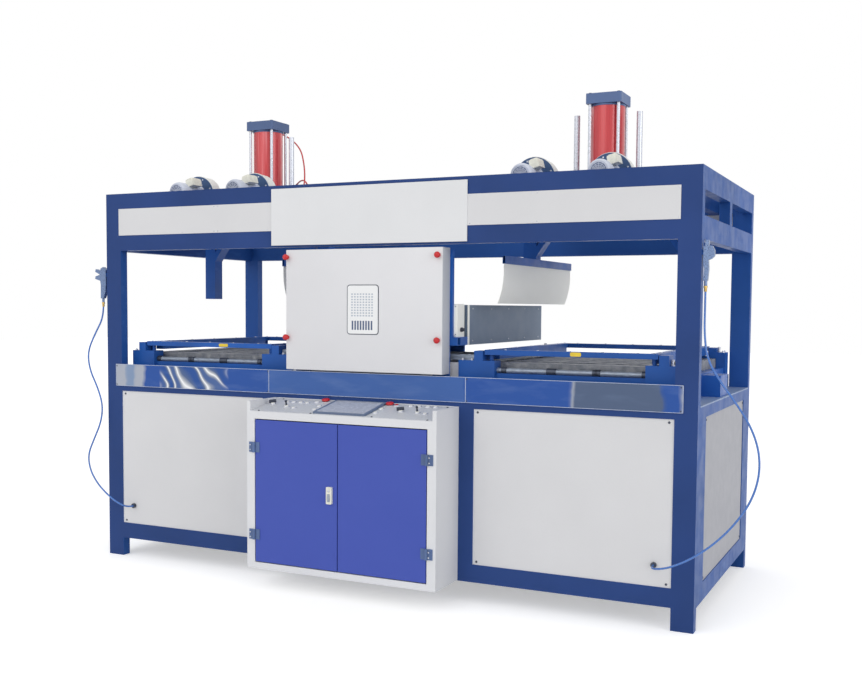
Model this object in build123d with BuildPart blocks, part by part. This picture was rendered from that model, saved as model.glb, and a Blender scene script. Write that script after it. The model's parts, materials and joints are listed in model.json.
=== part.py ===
from build123d import *
import os
from math import atan2, cos, pi, radians, sin, tan

os.makedirs("parts", exist_ok=True)

# Double-station vacuum forming machine.
# Units are millimetres. X runs along the machine, Y from the operator's side to the back, Z up.
# The origin is on the floor under the middle of the machine's outline.

# Main frame
frame_length = 3250
frame_depth = 1350
frame_height = 2000
post_width = 100
post_depth = 50
tube_wall = 4
rail_height = 100
truss_gap = 110
side_upright = 60
seat_gap = 0.3

# Base
foot_height = 100
base_rail_height = 85
base_top = 970
top_rail_drop = 50
mid_post_width = 100
console_bay = 980
side_stile = 130
panel_thickness = 3
panel_recess = 4
panel_gap = 0.4
deck_thickness = 6
mould_opening_length = 670
mould_opening_depth = 675

# Front strip and top panels
strip_drop = 22
strip_height = 120
strip_inset = 62
strip_thickness = 4
strip_seam_x = 550
strip_seam_gap = 1
top_panel_overlap = 17
top_panel_end_overlap = 10
top_panel_thickness = 3
board_width = 1082
board_height = 284
board_shift = 10
board_top_gap = 17
board_thickness = 5

# Stations, measured from the ends of the machine
station_end_gap = 610

# Table frames; the inner blocks are the ones beside the middle of the machine
block_size = 78
inner_block_offset = 505
outer_block_offset = 470
block_front_y = 128
front_block_height = 166
table_rail_height = 108
table_rail_width = 40
side_rail_of_table = 60
pad_reach = 54
guide_post_size = 45
end_bracket_reach = 95
end_bracket_depth = 180
end_bracket_height = 102
apron_y = 100
apron_height = 154
tie_bar_width = 20
tie_bar_height = 26
cross_shaft_diameter = 24
cross_shaft_height = 121

# Grip and clamp frames
grip_bar = 90
grip_seat = 20
grip_end_gap = 4
grip_thickness = 48
slat_count = 5
slat_width = 60
slat_thickness = 12
clamp_length = 825
clamp_front_y = 96
clamp_bar = 46
clamp_bar_height = 24
clamp_side_height = 46
clamp_gap = 6
clamp_lift = 100
lift_rod_diameter = 20
lift_rod_fit = 0.3
lift_rod_foot_gap = 8

# Heater carriage and its rails
rail_y = 62
rail_width = 22
rail_height_on_deck = 70
shoe_fit = 0.4
leg_thickness = 16
front_leg_x = (345, 430)
rear_leg_x = (-400, -20)
heater_length = 950
heater_front_y = 187
heater_back_y = 108
heater_height = 194
heater_wall = 25
heater_clearance = 17
carriage_beam_y = 66
carriage_beam_width = 40
carriage_beam_height = 40
rear_beam_inset = 55
rear_beam_width = 22
cover_length = 870
cover_height = 600
cover_gap = 7
cover_front_y = -20
upright_overhang = 12
upright_thickness = 20
upright_drop = 5
knob_diameter = 22
knob_height = 18
knob_columns = (-427, 413)
knob_heights = (162, 563)
terminal_box_x = (400, 465)
terminal_box_y = (88, 168)
terminal_box_height = 158

# Deflectors and hanging posts; the posts of the left station come first
hanger_offsets = ((-393, 393), (-393, 412))
hanger_size = 70
hanger_gap = 28
brace_size = 50
brace_run = 165
brace_drop = 231
landing_thickness = 12
landing_margin = 7
deflector_length = 1000
deflector_bar_width = 15
deflector_bar_height = 38
deflector_bar_rise = 189
deflector_bar_wall = 2
deflector_gap = 8
deflector_sheet = 2
deflector_radius = 378
deflector_turn = 23.4

# Press cylinders
cap_size = 180
cap_thickness = 50
cap_corner = 8
rod_chamber = 60
cylinder_length = 427
barrel_diameter = 168
tie_rod_diameter = 16
tie_rod_offset = 72
mount_thickness = 25
mount_size = 420
mount_corner = 12
beam_offset = 420
cross_beam_width = 50
cylinder_beam_offset = 120
cylinder_beam_width = 60
guide_rod_diameter = 30
guide_rod_offset = 160
guide_rod_rise = 337
bush_diameter = 60
bush_height = 45
rod_fit = 0.3
piston_rod_diameter = 45
piston_rod_top_gap = 4
platen_length = 380
platen_depth = 300
platen_thickness = 20
platen_corner = 10
platen_gap = 20
port_diameter = 16
port_length = 20
port_offset = -40
fitting_shift = 199
fitting_behind_middle = {"upper": 67, "lower": 121}

# Blowers
blower_offsets = (-280, 100)
blower_behind_middle = -287
blower_diameter = 210
blower_width = 85
blower_rim = 14
blower_clearance = 9
disc_thickness = 8
blower_duct = 120
blower_duct_drop = 8
blower_motor_diameter = 112
blower_motor_length = 192
motor_foot_width = 70
motor_foot_inset = 50
motor_foot_height = 79
motor_box_x = (35, 85)
motor_box_rise = (20, 70)
motor_box_inset = 56
shelf_thickness = 6
shelf_front_y = 200
shelf_back_y = 520

# Control console
console_width = 1030
console_depth = 245
console_low = 102
console_drop = 42
front_top_drop = 46
back_top_drop = 2
console_wall = 3
side_wall = 20
top_plate = 3
door_frame = 45
door_rise = 36
door_drop = 44
door_thickness = 20
door_wall = 2
door_gap = 5
hinge_height = 50
hinge_leaf = 30
hinge_leaf_thickness = 4
hinge_pin = 8
hinge_pin_fit = 0.06
knuckle_diameter = 15
knuckle_gap = 0.5
hinge_insets = (134, 135)
lock_height = 82
lock_width = 30
lock_depth = 12
lock_corner = 5
lock_x = -41
lock_rise = 361
screen_length = 286
screen_depth = 230
screen_height = 8
screen_inset = 8
screen_corner = 6
button_diameter = 24
button_height = 12
button_places = (
    (-392, 176), (-354, 176), (-314, 176), (-276, 176), (-232, 196), (-180, 131), (-169, 68), (-294, 79),
    (278, 216), (322, 216), (368, 216), (409, 216), (160, 140), (164, 71), (411, 97), (204, 213),
)
selector_diameter = 26
selector_height = 20
selector_places = ((-448, 129), (-346, 95), (275, 115), (365, 110))
stop_diameter = 38
stop_stem_diameter = 26
stop_height = 26
stop_places = ((-196, 222), (166, 217))

# Blow guns and hoses, the left one first
gun_inlet_out = (44, 16)
gun_inlet_rise = (429, 512)
gun_y = 18
gun_thickness = 22
ferrule_diameter = 14
ferrule_height = 30
gun_outlines = {
    "left": (
        (-9, 30), (9, 30), (24, 62), (28, 112), (28, 188), (8, 204), (-8, 196), (-12, 184),
        (-44, 193), (-48, 178), (-14, 162), (-46, 152), (-48, 138), (-12, 128), (-8, 105),
    ),
    "right": (
        (-8, 30), (9, 30), (13, 80), (11, 118), (24, 122), (36, 134), (36, 158), (27, 176),
        (12, 178), (12, 201), (-3, 201), (-3, 178), (-10, 174), (-10, 118), (-6, 80),
    ),
}
hook_rise = (150, 140)
hook_height = 22
hook_thickness = 14
hose_diameter = 9
grommet_inset = 177
grommet_rise = (185, 180)
grommet_diameter = 26
grommet_stand_off = 8

half_length = frame_length / 2
outline_depth = frame_depth + console_depth
front = -(outline_depth / 2) + console_depth
back = front + frame_depth
mid_y = front + frame_depth / 2
station_offset = half_length - station_end_gap
top_lower_low = frame_height - 2 * rail_height - truss_gap
top_lower_high = top_lower_low + rail_height
top_upper_low = frame_height - rail_height
deck_z = (base_top, base_top + deck_thickness)
strip_low = base_top - strip_drop
block_top = deck_z[1] + front_block_height
clamp_low = block_top + clamp_gap
clamp_top = clamp_low + clamp_side_height
clamp_bar_low = clamp_top - clamp_bar_height
rear_block_top = clamp_bar_low - clamp_gap
heater_low = clamp_top + heater_clearance
heater_top = heater_low + heater_height
heater_depth = frame_depth - heater_front_y - heater_back_y
hanger_low = heater_top + hanger_gap
deflector_low = heater_top + deflector_gap
deflector_bar_low = deflector_low + deflector_bar_rise
platen_top = top_upper_low - platen_gap
console_high = base_top - console_drop
console_front_top = console_high - front_top_drop
console_back_top = console_high - back_top_drop
door_low = console_low + door_rise
door_high = console_front_top - door_drop


def mirrored_rows(low, high):
    """Limits along Y of a front row and of the rear row that mirrors it."""
    return (front + low, front + high), (back - high, back - low)


def plane_at_y(y):
    """Plane across Y at y, drawn in X and Z as seen from the operator's side."""
    return Plane(origin=(0, y, 0), x_dir=(1, 0, 0), z_dir=(0, -1, 0))


def block(xs, ys, zs):
    """Add a rectangular block between the given limits to the part being built."""
    with BuildSketch(Plane.XY.offset(zs[0])) as outline:
        with Locations(((xs[0] + xs[1]) / 2, (ys[0] + ys[1]) / 2)):
            Rectangle(xs[1] - xs[0], ys[1] - ys[0])
    extrude(outline.sketch, amount=zs[1] - zs[0])


def tube(axis, xs, ys, zs, wall=tube_wall):
    """Add a rectangular hollow section that runs along one axis between the given limits."""
    limits = {"x": xs, "y": ys, "z": zs}
    run = limits[axis][1] - limits[axis][0]
    if axis == "x":
        plane = Plane.YZ.offset(xs[0])
        middle = ((ys[0] + ys[1]) / 2, (zs[0] + zs[1]) / 2)
        size = (ys[1] - ys[0], zs[1] - zs[0])
    elif axis == "y":
        plane = plane_at_y(ys[1])
        middle = ((xs[0] + xs[1]) / 2, (zs[0] + zs[1]) / 2)
        size = (xs[1] - xs[0], zs[1] - zs[0])
    else:
        plane = Plane.XY.offset(zs[0])
        middle = ((xs[0] + xs[1]) / 2, (ys[0] + ys[1]) / 2)
        size = (xs[1] - xs[0], ys[1] - ys[0])
    with BuildSketch(plane) as section:
        with Locations(middle):
            Rectangle(*size)
            Rectangle(size[0] - 2 * wall, size[1] - 2 * wall, mode=Mode.SUBTRACT)
    extrude(section.sketch, amount=run)


def rod(centre, diameter, zs):
    """Add a round upright bar."""
    with BuildSketch(Plane.XY.offset(zs[0])) as section:
        with Locations(centre):
            Circle(diameter / 2)
    extrude(section.sketch, amount=zs[1] - zs[0])


def save(piece, name):
    piece.part.label = name
    export_step(piece.part, "parts/" + name + ".step")


# Corner posts
post_rows = ((front, front + post_depth), (back - post_depth, back))
post_columns = ((-half_length, -half_length + post_width), (half_length - post_width, half_length))
with BuildPart() as corner_posts:
    for xs in post_columns:
        for ys in post_rows:
            tube("z", xs, ys, (0, frame_height))
save(corner_posts, "corner_posts")

# Long rails of the top frame, front and rear
inner_length = (-half_length + post_width, half_length - post_width)
with BuildPart() as top_long_rails:
    for ys in post_rows:
        tube("x", inner_length, ys, (top_upper_low, frame_height))
        tube("x", inner_length, ys, (top_lower_low, top_lower_high))
save(top_long_rails, "top_long_rails")

# Side frames of the top, each an upper and a lower rail with a short upright between them
inner_depth = (front + post_depth, back - post_depth)
side_rail_width = post_depth
side_columns = ((-half_length, -half_length + side_rail_width), (half_length - side_rail_width, half_length))
with BuildPart() as top_side_frames:
    for xs in side_columns:
        tube("y", xs, inner_depth, (top_upper_low, frame_height))
        tube("y", xs, inner_depth, (top_lower_low, top_lower_high))
        tube(
            "z",
            xs,
            (mid_y - side_upright / 2, mid_y + side_upright / 2),
            (top_lower_high, top_upper_low),
        )
save(top_side_frames, "top_side_frames")

# Beams across the top, a pair in each station with two short beams between them for the press cylinder,
# and a shelf for the blowers
shelf_z = (top_upper_low, top_upper_low + shelf_thickness)
half_span = beam_offset - cross_beam_width / 2
blower_y = mid_y + blower_behind_middle
drum_y = (blower_y, blower_y + blower_width)
with BuildPart() as top_cross_beams:
    for station in (-1, 1):
        station_x = station * station_offset
        block(
            (station_x - half_span, station_x + half_span),
            (front + shelf_front_y, front + shelf_back_y),
            shelf_z,
        )
        for side in (-1, 1):
            beam_x = station_x + side * beam_offset
            tube(
                "y",
                (beam_x - cross_beam_width / 2, beam_x + cross_beam_width / 2),
                inner_depth,
                (top_upper_low, frame_height),
            )
            beam_y = mid_y + side * cylinder_beam_offset
            tube(
                "x",
                (station_x - half_span, station_x + half_span),
                (beam_y - cylinder_beam_width / 2, beam_y + cylinder_beam_width / 2),
                (top_upper_low, frame_height),
            )
    with BuildSketch(Plane.XY.offset(shelf_z[0])) as outlet_holes:
        for station in (-1, 1):
            for offset_x in blower_offsets:
                with Locations((station * station_offset + offset_x, (drum_y[0] + drum_y[1]) / 2)):
                    Rectangle(blower_duct + 2 * seat_gap, blower_width + 2 * seat_gap)
    extrude(outlet_holes.sketch, amount=shelf_thickness, mode=Mode.SUBTRACT)
save(top_cross_beams, "top_cross_beams")

# Strip panels over the gap between the two long rails
top_panel_half = half_length - post_width + top_panel_end_overlap
top_panel_x = (-top_panel_half, top_panel_half)
top_panel_z = (top_lower_high - top_panel_overlap, top_upper_low + top_panel_overlap)
with BuildPart() as top_strip_panels:
    block(top_panel_x, (front - top_panel_thickness, front), top_panel_z)
    block(top_panel_x, (back, back + top_panel_thickness), top_panel_z)
save(top_strip_panels, "top_strip_panels")

board_back = front - top_panel_thickness
board_high = frame_height - board_top_gap
with BuildPart() as name_board:
    block(
        (board_shift - board_width / 2, board_shift + board_width / 2),
        (board_back - board_thickness, board_back),
        (board_high - board_height, board_high),
    )
save(name_board, "name_board")

# Long base frames, front and rear, each two rails joined by two inner posts
base_rail_z = (foot_height, foot_height + base_rail_height)
base_top_z = (base_top - top_rail_drop, base_top)
bay_posts = (
    (-console_bay / 2 - mid_post_width, -console_bay / 2),
    (console_bay / 2, console_bay / 2 + mid_post_width),
)
with BuildPart() as base_long_frames:
    for ys in post_rows:
        tube("x", inner_length, ys, base_rail_z)
        tube("x", inner_length, ys, base_top_z)
        for xs in bay_posts:
            tube("z", xs, ys, (base_rail_z[1], base_top_z[0]))
save(base_long_frames, "base_long_frames")

# Side base frames
side_stiles = (
    (inner_depth[0], inner_depth[0] + side_stile),
    (inner_depth[1] - side_stile, inner_depth[1]),
)
with BuildPart() as base_side_frames:
    for xs in side_columns:
        tube("y", xs, inner_depth, base_rail_z)
        tube("y", xs, inner_depth, base_top_z)
        for ys in side_stiles:
            tube("z", xs, ys, (base_rail_z[1], base_top_z[0]))
save(base_side_frames, "base_side_frames")

# Base panels, each let into its opening, and an apron above the deck between the two tables
inner_column = station_offset - inner_block_offset
outer_column = station_offset + outer_block_offset
half_block = block_size / 2
apron_half = inner_column - half_block - panel_gap
apron_z = (deck_z[1], deck_z[1] + apron_height)
apron_rows = mirrored_rows(apron_y, apron_y + panel_thickness)
panel_z = (base_rail_z[1] + panel_gap, base_top_z[0] - panel_gap)
outer_bays = (
    (inner_length[0] + panel_gap, bay_posts[0][0] - panel_gap),
    (bay_posts[1][1] + panel_gap, inner_length[1] - panel_gap),
)
middle_bay = (bay_posts[0][1] + panel_gap, bay_posts[1][0] - panel_gap)
front_panel_y = (front + panel_recess, front + panel_recess + panel_thickness)
rear_panel_y = (back - panel_recess - panel_thickness, back - panel_recess)
with BuildPart() as base_long_panels:
    for xs in outer_bays:
        block(xs, front_panel_y, panel_z)
    for xs in (outer_bays[0], middle_bay, outer_bays[1]):
        block(xs, rear_panel_y, panel_z)
    for ys in apron_rows:
        block((-apron_half, apron_half), ys, apron_z)
save(base_long_panels, "base_long_panels")

side_panel_y = (side_stiles[0][1] + panel_gap, side_stiles[1][0] - panel_gap)
with BuildPart() as base_side_panels:
    for side in (-1, 1):
        face = half_length - panel_recess
        limits = sorted((side * face, side * (face - panel_thickness)))
        block(limits, side_panel_y, panel_z)
save(base_side_panels, "base_side_panels")

# Table deck on the base, notched round the corner posts, with an opening for the mould under each station
with BuildPart() as table_deck:
    with BuildSketch(Plane.XY.offset(deck_z[0])):
        with Locations((0, mid_y)):
            Rectangle(inner_length[1] - inner_length[0], frame_depth - 2 * seat_gap)
            Rectangle(frame_length, inner_depth[1] - inner_depth[0] - 2 * seat_gap)
        with Locations((-station_offset, mid_y), (station_offset, mid_y)):
            Rectangle(mould_opening_length, mould_opening_depth, mode=Mode.SUBTRACT)
    extrude(amount=deck_thickness)
save(table_deck, "table_deck")

# Mirror-finished strip along the front at table height, three sheets with open seams
strip_half = half_length - strip_inset
strip_sheets = (
    (-strip_half, -strip_seam_x - strip_seam_gap / 2),
    (-strip_seam_x + strip_seam_gap / 2, strip_seam_x - strip_seam_gap / 2),
    (strip_seam_x + strip_seam_gap / 2, strip_half),
)
with BuildPart() as front_strip:
    for xs in strip_sheets:
        block(xs, (front - strip_thickness, front), (strip_low, strip_low + strip_height))
save(front_strip, "front_strip")

# Table frame of each station: four corner blocks with a pad for the lift rod and a guide post beside it,
# rails between them, and a bracket on the outer side
block_rows = (front + block_front_y, back - block_front_y)
block_tops = (block_top, rear_block_top)
table_rail_z = (deck_z[1], deck_z[1] + table_rail_height)
lift_bore = lift_rod_diameter + 2 * lift_rod_fit
clamp_half = clamp_length / 2
lift_rod_x = clamp_half - clamp_bar / 2
guide_post_x = clamp_half + clamp_gap
pad_inner = clamp_half - pad_reach


def station_limits(station, low, high):
    """Limits along X at a station, given as distances outwards from the station's middle."""
    ends = (station * (station_offset + low), station * (station_offset + high))
    return min(ends), max(ends)


def lift_rod_places(station):
    """Centres of a station's four lift rods, under the corners of the clamp frame."""
    middle_x = station * station_offset
    return [(middle_x + x, y) for x in (-lift_rod_x, lift_rod_x) for y in block_rows]


block_offsets = (-inner_block_offset, outer_block_offset)
bracket_start = outer_block_offset + side_rail_of_table / 2
bracket_y = (mid_y - end_bracket_depth / 2, mid_y + end_bracket_depth / 2)
for name, station in (("table_frame_left", -1), ("table_frame_right", 1)):
    with BuildPart() as table_frame:
        for block_offset in block_offsets:
            side = 1 if block_offset > 0 else -1
            for y, top in zip(block_rows, block_tops):
                ys = (y - half_block, y + half_block)
                xs = station_limits(station, block_offset - half_block, block_offset + half_block)
                block(xs, ys, (deck_z[1], top))
                pad = sorted((side * pad_inner, block_offset))
                block(station_limits(station, *pad), ys, (deck_z[1], block_top))
                guide = sorted((side * guide_post_x, side * (guide_post_x + guide_post_size)))
                block(station_limits(station, *guide), ys, (deck_z[1], clamp_top - clamp_gap))
            rail = (block_offset - side_rail_of_table / 2, block_offset + side_rail_of_table / 2)
            side_rail_y = (block_rows[0] + half_block, block_rows[1] - half_block)
            tube("y", station_limits(station, *rail), side_rail_y, table_rail_z)
        for y in block_rows:
            tube(
                "x",
                station_limits(station, -pad_inner, pad_inner),
                (y - table_rail_width / 2, y + table_rail_width / 2),
                table_rail_z,
            )
        block(
            station_limits(station, bracket_start, bracket_start + end_bracket_reach),
            bracket_y,
            (deck_z[1], deck_z[1] + end_bracket_height),
        )
        with BuildSketch(Plane.XY.offset(deck_z[1] + tube_wall)) as lift_bores:
            with Locations(*lift_rod_places(station)):
                Circle(lift_bore / 2)
        extrude(lift_bores.sketch, amount=clamp_top, mode=Mode.SUBTRACT)
    save(table_frame, name)

# Aluminium grip frame of each station, a flat frame with slats across it
grip_ends = (
    -inner_block_offset + side_rail_of_table / 2 - grip_seat,
    outer_block_offset - side_rail_of_table / 2 + grip_seat,
)
grip_half_depth = mid_y - block_rows[0] - half_block - grip_end_gap
grip_length = grip_ends[1] - grip_ends[0]
grip_top = table_rail_z[1] + grip_thickness
for name, station in (("grip_frame_left", -1), ("grip_frame_right", 1)):
    grip_x = station * (station_offset + (grip_ends[0] + grip_ends[1]) / 2)
    with BuildPart() as grip_frame:
        with BuildSketch(Plane.XY.offset(table_rail_z[1])):
            with Locations((grip_x, mid_y)):
                Rectangle(grip_length, 2 * grip_half_depth)
                Rectangle(grip_length - 2 * grip_bar, 2 * (grip_half_depth - grip_bar), mode=Mode.SUBTRACT)
        extrude(amount=grip_thickness)
        slat_pitch = 2 * (grip_half_depth - grip_bar) / (slat_count + 1)
        with BuildSketch(Plane.XY.offset(grip_top - slat_thickness)):
            with Locations((grip_x, mid_y)):
                with GridLocations(0, slat_pitch, 1, slat_count):
                    Rectangle(grip_length - grip_bar, slat_width)
        extrude(amount=slat_thickness)
    save(grip_frame, name)

# Clamp frame of each station, flat bars front and rear with a deeper bar at each side screwed
# between them, on four lift rods
clamp_rows = (front + clamp_front_y, back - clamp_front_y)
clamp_depth = clamp_rows[1] - clamp_rows[0]
side_bar_y = (clamp_rows[0] + clamp_bar + seat_gap, clamp_rows[1] - clamp_bar - seat_gap)
deep_bar_y = (block_rows[0] + half_block + clamp_gap, block_rows[1] - half_block - clamp_gap)
for name, station in (("clamp_frame_left", -1), ("clamp_frame_right", 1)):
    with BuildPart() as clamp_frame:
        with BuildSketch(Plane.XY.offset(clamp_bar_low)):
            with Locations((station * station_offset, mid_y)):
                with GridLocations(0, clamp_depth - clamp_bar, 1, 2):
                    Rectangle(clamp_length, clamp_bar)
        extrude(amount=clamp_bar_height)
        for side in (-1, 1):
            limits = sorted((side * (clamp_half - clamp_bar), side * clamp_half))
            block(station_limits(station, *limits), side_bar_y, (clamp_bar_low, clamp_top))
            block(station_limits(station, *limits), deep_bar_y, (clamp_low, clamp_bar_low))
        for place in lift_rod_places(station):
            rod(place, lift_rod_diameter, (deck_z[1] + lift_rod_foot_gap, clamp_bar_low - seat_gap))
    save(clamp_frame, name)

# Shafts along the front and the back of each station, and the tie bars between the stations
cross_shaft_z = deck_z[1] + cross_shaft_height
tie_half = inner_column + half_block
with BuildPart() as cross_shafts:
    for station in (-1, 1):
        for y in block_rows:
            shaft_start = station * station_offset - pad_inner
            with BuildSketch(Plane.YZ.offset(shaft_start)) as shaft_section:
                with Locations((y, cross_shaft_z)):
                    Circle(cross_shaft_diameter / 2)
            extrude(shaft_section.sketch, amount=2 * pad_inner)
    tie_y = front + block_front_y
    tie_width = (tie_y - tie_bar_width / 2, tie_y + tie_bar_width / 2)
    block((-tie_half, tie_half), tie_width, (block_top, block_top + tie_bar_height))
save(cross_shafts, "cross_shafts")

# Rails that the heater carriage runs on, along the front and the back of the deck
carriage_rows = mirrored_rows(rail_y, rail_y + rail_width)
rail_z = (deck_z[1], deck_z[1] + rail_height_on_deck)
with BuildPart() as carriage_rails:
    for ys in carriage_rows:
        block(inner_length, ys, rail_z)
save(carriage_rails, "carriage_rails")

# Legs that carry the carriage on its rails, hidden behind the cover
leg_z = (rail_z[1] + shoe_fit, heater_low)
leg_rows = mirrored_rows(carriage_beam_y, carriage_beam_y + leg_thickness)
with BuildPart() as carriage_legs:
    for side in (-1, 1):
        block(sorted((side * front_leg_x[0], side * front_leg_x[1])), leg_rows[0], leg_z)
    block(rear_leg_x, leg_rows[1], leg_z)
save(carriage_legs, "carriage_legs")

# Heater carriage: beams front and rear, arms to the heater, and uprights for the cover
cover_low = strip_low + strip_height + cover_gap
beam_z = (heater_low, heater_low + carriage_beam_height)
heater_y = (front + heater_front_y, front + heater_front_y + heater_depth)
front_beam_y = (front + carriage_beam_y, front + carriage_beam_y + carriage_beam_width)
rear_beam_y = (back - carriage_beam_y - rear_beam_width, back - carriage_beam_y)
rear_beam_half = heater_length / 2 - rear_beam_inset
upright_x = cover_length / 2 + upright_overhang
upright_y = (front_beam_y[0], front_beam_y[0] + upright_thickness)
with BuildPart() as heater_carriage:
    tube("x", (-heater_length / 2, heater_length / 2), front_beam_y, beam_z)
    tube("x", (-rear_beam_half, rear_beam_half), rear_beam_y, beam_z)
    for side in (-1, 1):
        front_end = side * heater_length / 2
        front_arm = sorted((front_end, front_end - side * carriage_beam_width))
        tube("y", front_arm, (front_beam_y[1], heater_y[0]), beam_z)
        rear_end = side * rear_beam_half
        rear_arm = sorted((rear_end, rear_end - side * carriage_beam_width))
        tube("y", rear_arm, (heater_y[1], rear_beam_y[0]), beam_z)
        limits = sorted((side * upright_x, side * (upright_x - carriage_beam_width)))
        tube("z", limits, upright_y, (beam_z[1], cover_low + cover_height - upright_drop))
save(heater_carriage, "heater_carriage")

with BuildPart() as heater_terminal_box:
    block(
        terminal_box_x,
        (front + terminal_box_y[0], front + terminal_box_y[1]),
        (beam_z[1], beam_z[1] + terminal_box_height),
    )
save(heater_terminal_box, "heater_terminal_box")

# Heater oven, a box open underneath
with BuildPart() as heater_box:
    block((-heater_length / 2, heater_length / 2), heater_y, (heater_low, heater_low + heater_height))
    offset(amount=-heater_wall, openings=heater_box.faces().sort_by(Axis.Z)[0], mode=Mode.REPLACE)
save(heater_box, "heater_box")

# White cover box on the front of the carriage
cover_y = (front + cover_front_y, front_beam_y[0])
with BuildPart() as heater_cover:
    block((-cover_length / 2, cover_length / 2), cover_y, (cover_low, cover_low + cover_height))
save(heater_cover, "heater_cover")

with BuildPart() as cover_knobs:
    for x in knob_columns:
        for knob_z in knob_heights:
            with BuildSketch(plane_at_y(cover_y[0])) as knob_section:
                with Locations((x, cover_low + knob_z)):
                    Circle(knob_diameter / 2)
            extrude(knob_section.sketch, amount=knob_height)
save(cover_knobs, "cover_knobs")

# Posts that hang from the cross beams, each with a brace to a landing plate under the short beams,
# and a bar on the post beside the heater for the deflector sheet
hanger_top = top_upper_low
deflector_y = (mid_y - deflector_length / 2, mid_y + deflector_length / 2)
deflector_bar_z = (deflector_bar_low, deflector_bar_low + deflector_bar_height)
hanger_y = (mid_y - hanger_size / 2, mid_y + hanger_size / 2)
landing_y = (mid_y - cylinder_beam_offset - cylinder_beam_width / 2,
             mid_y + cylinder_beam_offset + cylinder_beam_width / 2)
landing_low = hanger_top - landing_thickness
post_places = {
    -1: [-station_offset + offset_x for offset_x in hanger_offsets[0]],
    1: [station_offset + offset_x for offset_x in hanger_offsets[1]],
}
bar_starts = {
    -1: post_places[-1][1] + hanger_size / 2,
    1: post_places[1][0] + hanger_size / 2,
}
with BuildPart() as hanging_posts:
    for station in (-1, 1):
        for side, x in zip((1, -1), post_places[station]):
            post_low = deflector_bar_low if x + hanger_size / 2 == bar_starts[station] else hanger_low
            tube("z", (x - hanger_size / 2, x + hanger_size / 2), hanger_y, (post_low, hanger_top))
            face_x = x + side * hanger_size / 2
            with BuildSketch(plane_at_y(hanger_y[1])) as brace_side:
                with BuildLine():
                    Polyline(
                        (face_x, landing_low - brace_drop),
                        (face_x, landing_low - brace_drop + brace_size),
                        (face_x + side * (brace_run - brace_size * brace_run / brace_drop), landing_low),
                        (face_x + side * brace_run, landing_low),
                        close=True,
                    )
                make_face()
            extrude(brace_side.sketch, amount=hanger_size)
            landing_x = sorted((
                face_x + side * (brace_run - brace_size - landing_margin),
                face_x + side * (brace_run + landing_margin),
            ))
            block(landing_x, landing_y, (landing_low, hanger_top))
        bar_x = (bar_starts[station], bar_starts[station] + deflector_bar_width)
        tube("y", bar_x, deflector_y, deflector_bar_z, deflector_bar_wall)
save(hanging_posts, "hanging_posts")

# Sheets under the bars, each bent towards the heater along its lower edge
for name, station in (("air_deflector_left", -1), ("air_deflector_right", 1)):
    sheet_x = bar_starts[station] + deflector_bar_width / 2
    bend_z = deflector_low + deflector_radius * sin(radians(deflector_turn))
    with BuildPart() as air_deflector:
        with BuildSketch(plane_at_y(deflector_y[1])):
            with BuildLine():
                Line((sheet_x, deflector_bar_low), (sheet_x, bend_z))
                CenterArc(
                    (sheet_x - station * deflector_radius, bend_z),
                    deflector_radius,
                    0 if station > 0 else 180,
                    -station * deflector_turn,
                )
            trace(line_width=deflector_sheet)
        extrude(amount=deflector_length)
    save(air_deflector, name)

# Plates on the short beams that carry the press cylinders, with bushes for the guide rods
mount_z = (frame_height, frame_height + mount_thickness)
guide_rods = {-1: (guide_rod_offset,), 1: (-guide_rod_offset, guide_rod_offset)}
with BuildPart() as cylinder_mounts:
    for station, offsets in guide_rods.items():
        station_x = station * station_offset
        with BuildSketch(Plane.XY.offset(mount_z[0])) as mount_outline:
            with Locations((station_x, mid_y)):
                RectangleRounded(mount_size, 2 * cylinder_beam_offset + cylinder_beam_width, mount_corner)
        extrude(mount_outline.sketch, amount=mount_thickness)
        for x in offsets:
            rod((station_x + x, mid_y), bush_diameter, (mount_z[1], mount_z[1] + bush_height))
        with BuildSketch(Plane.XY.offset(mount_z[0])) as mount_bores:
            with Locations(*[(station_x + x, mid_y) for x in offsets]):
                Circle(guide_rod_diameter / 2 + rod_fit)
            with Locations((station_x, mid_y)):
                Circle(piston_rod_diameter / 2 + rod_fit)
        extrude(mount_bores.sketch, amount=mount_thickness + bush_height, mode=Mode.SUBTRACT)
save(cylinder_mounts, "cylinder_mounts")

# Press cylinders: red barrels between square caps, with four tie rods each
lower_cap_z = (mount_z[1], mount_z[1] + cap_thickness)
cap_top = mount_z[1] + cylinder_length
upper_cap_z = (cap_top - cap_thickness, cap_top)
with BuildPart() as cylinder_caps:
    for station in (-1, 1):
        for zs in (lower_cap_z, upper_cap_z):
            with BuildSketch(Plane.XY.offset(zs[0])) as cap_outline:
                with Locations((station * station_offset, mid_y)):
                    RectangleRounded(cap_size, cap_size, cap_corner)
                    if zs == lower_cap_z:
                        Circle(rod_chamber / 2, mode=Mode.SUBTRACT)
            extrude(cap_outline.sketch, amount=cap_thickness)
save(cylinder_caps, "cylinder_caps")

with BuildPart() as cylinder_barrels:
    for station in (-1, 1):
        with BuildSketch(Plane.XY.offset(lower_cap_z[1])) as barrel_section:
            with Locations((station * station_offset, mid_y)):
                Circle(barrel_diameter / 2)
                Circle(rod_chamber / 2, mode=Mode.SUBTRACT)
        extrude(barrel_section.sketch, amount=upper_cap_z[0] - lower_cap_z[1])
save(cylinder_barrels, "cylinder_barrels")

with BuildPart() as cylinder_tie_rods:
    for station in (-1, 1):
        for x in (-tie_rod_offset, tie_rod_offset):
            for y in (-tie_rod_offset, tie_rod_offset):
                rod(
                    (station * station_offset + x, mid_y + y),
                    tie_rod_diameter,
                    (lower_cap_z[1], upper_cap_z[0]),
                )
save(cylinder_tie_rods, "cylinder_tie_rods")

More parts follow.
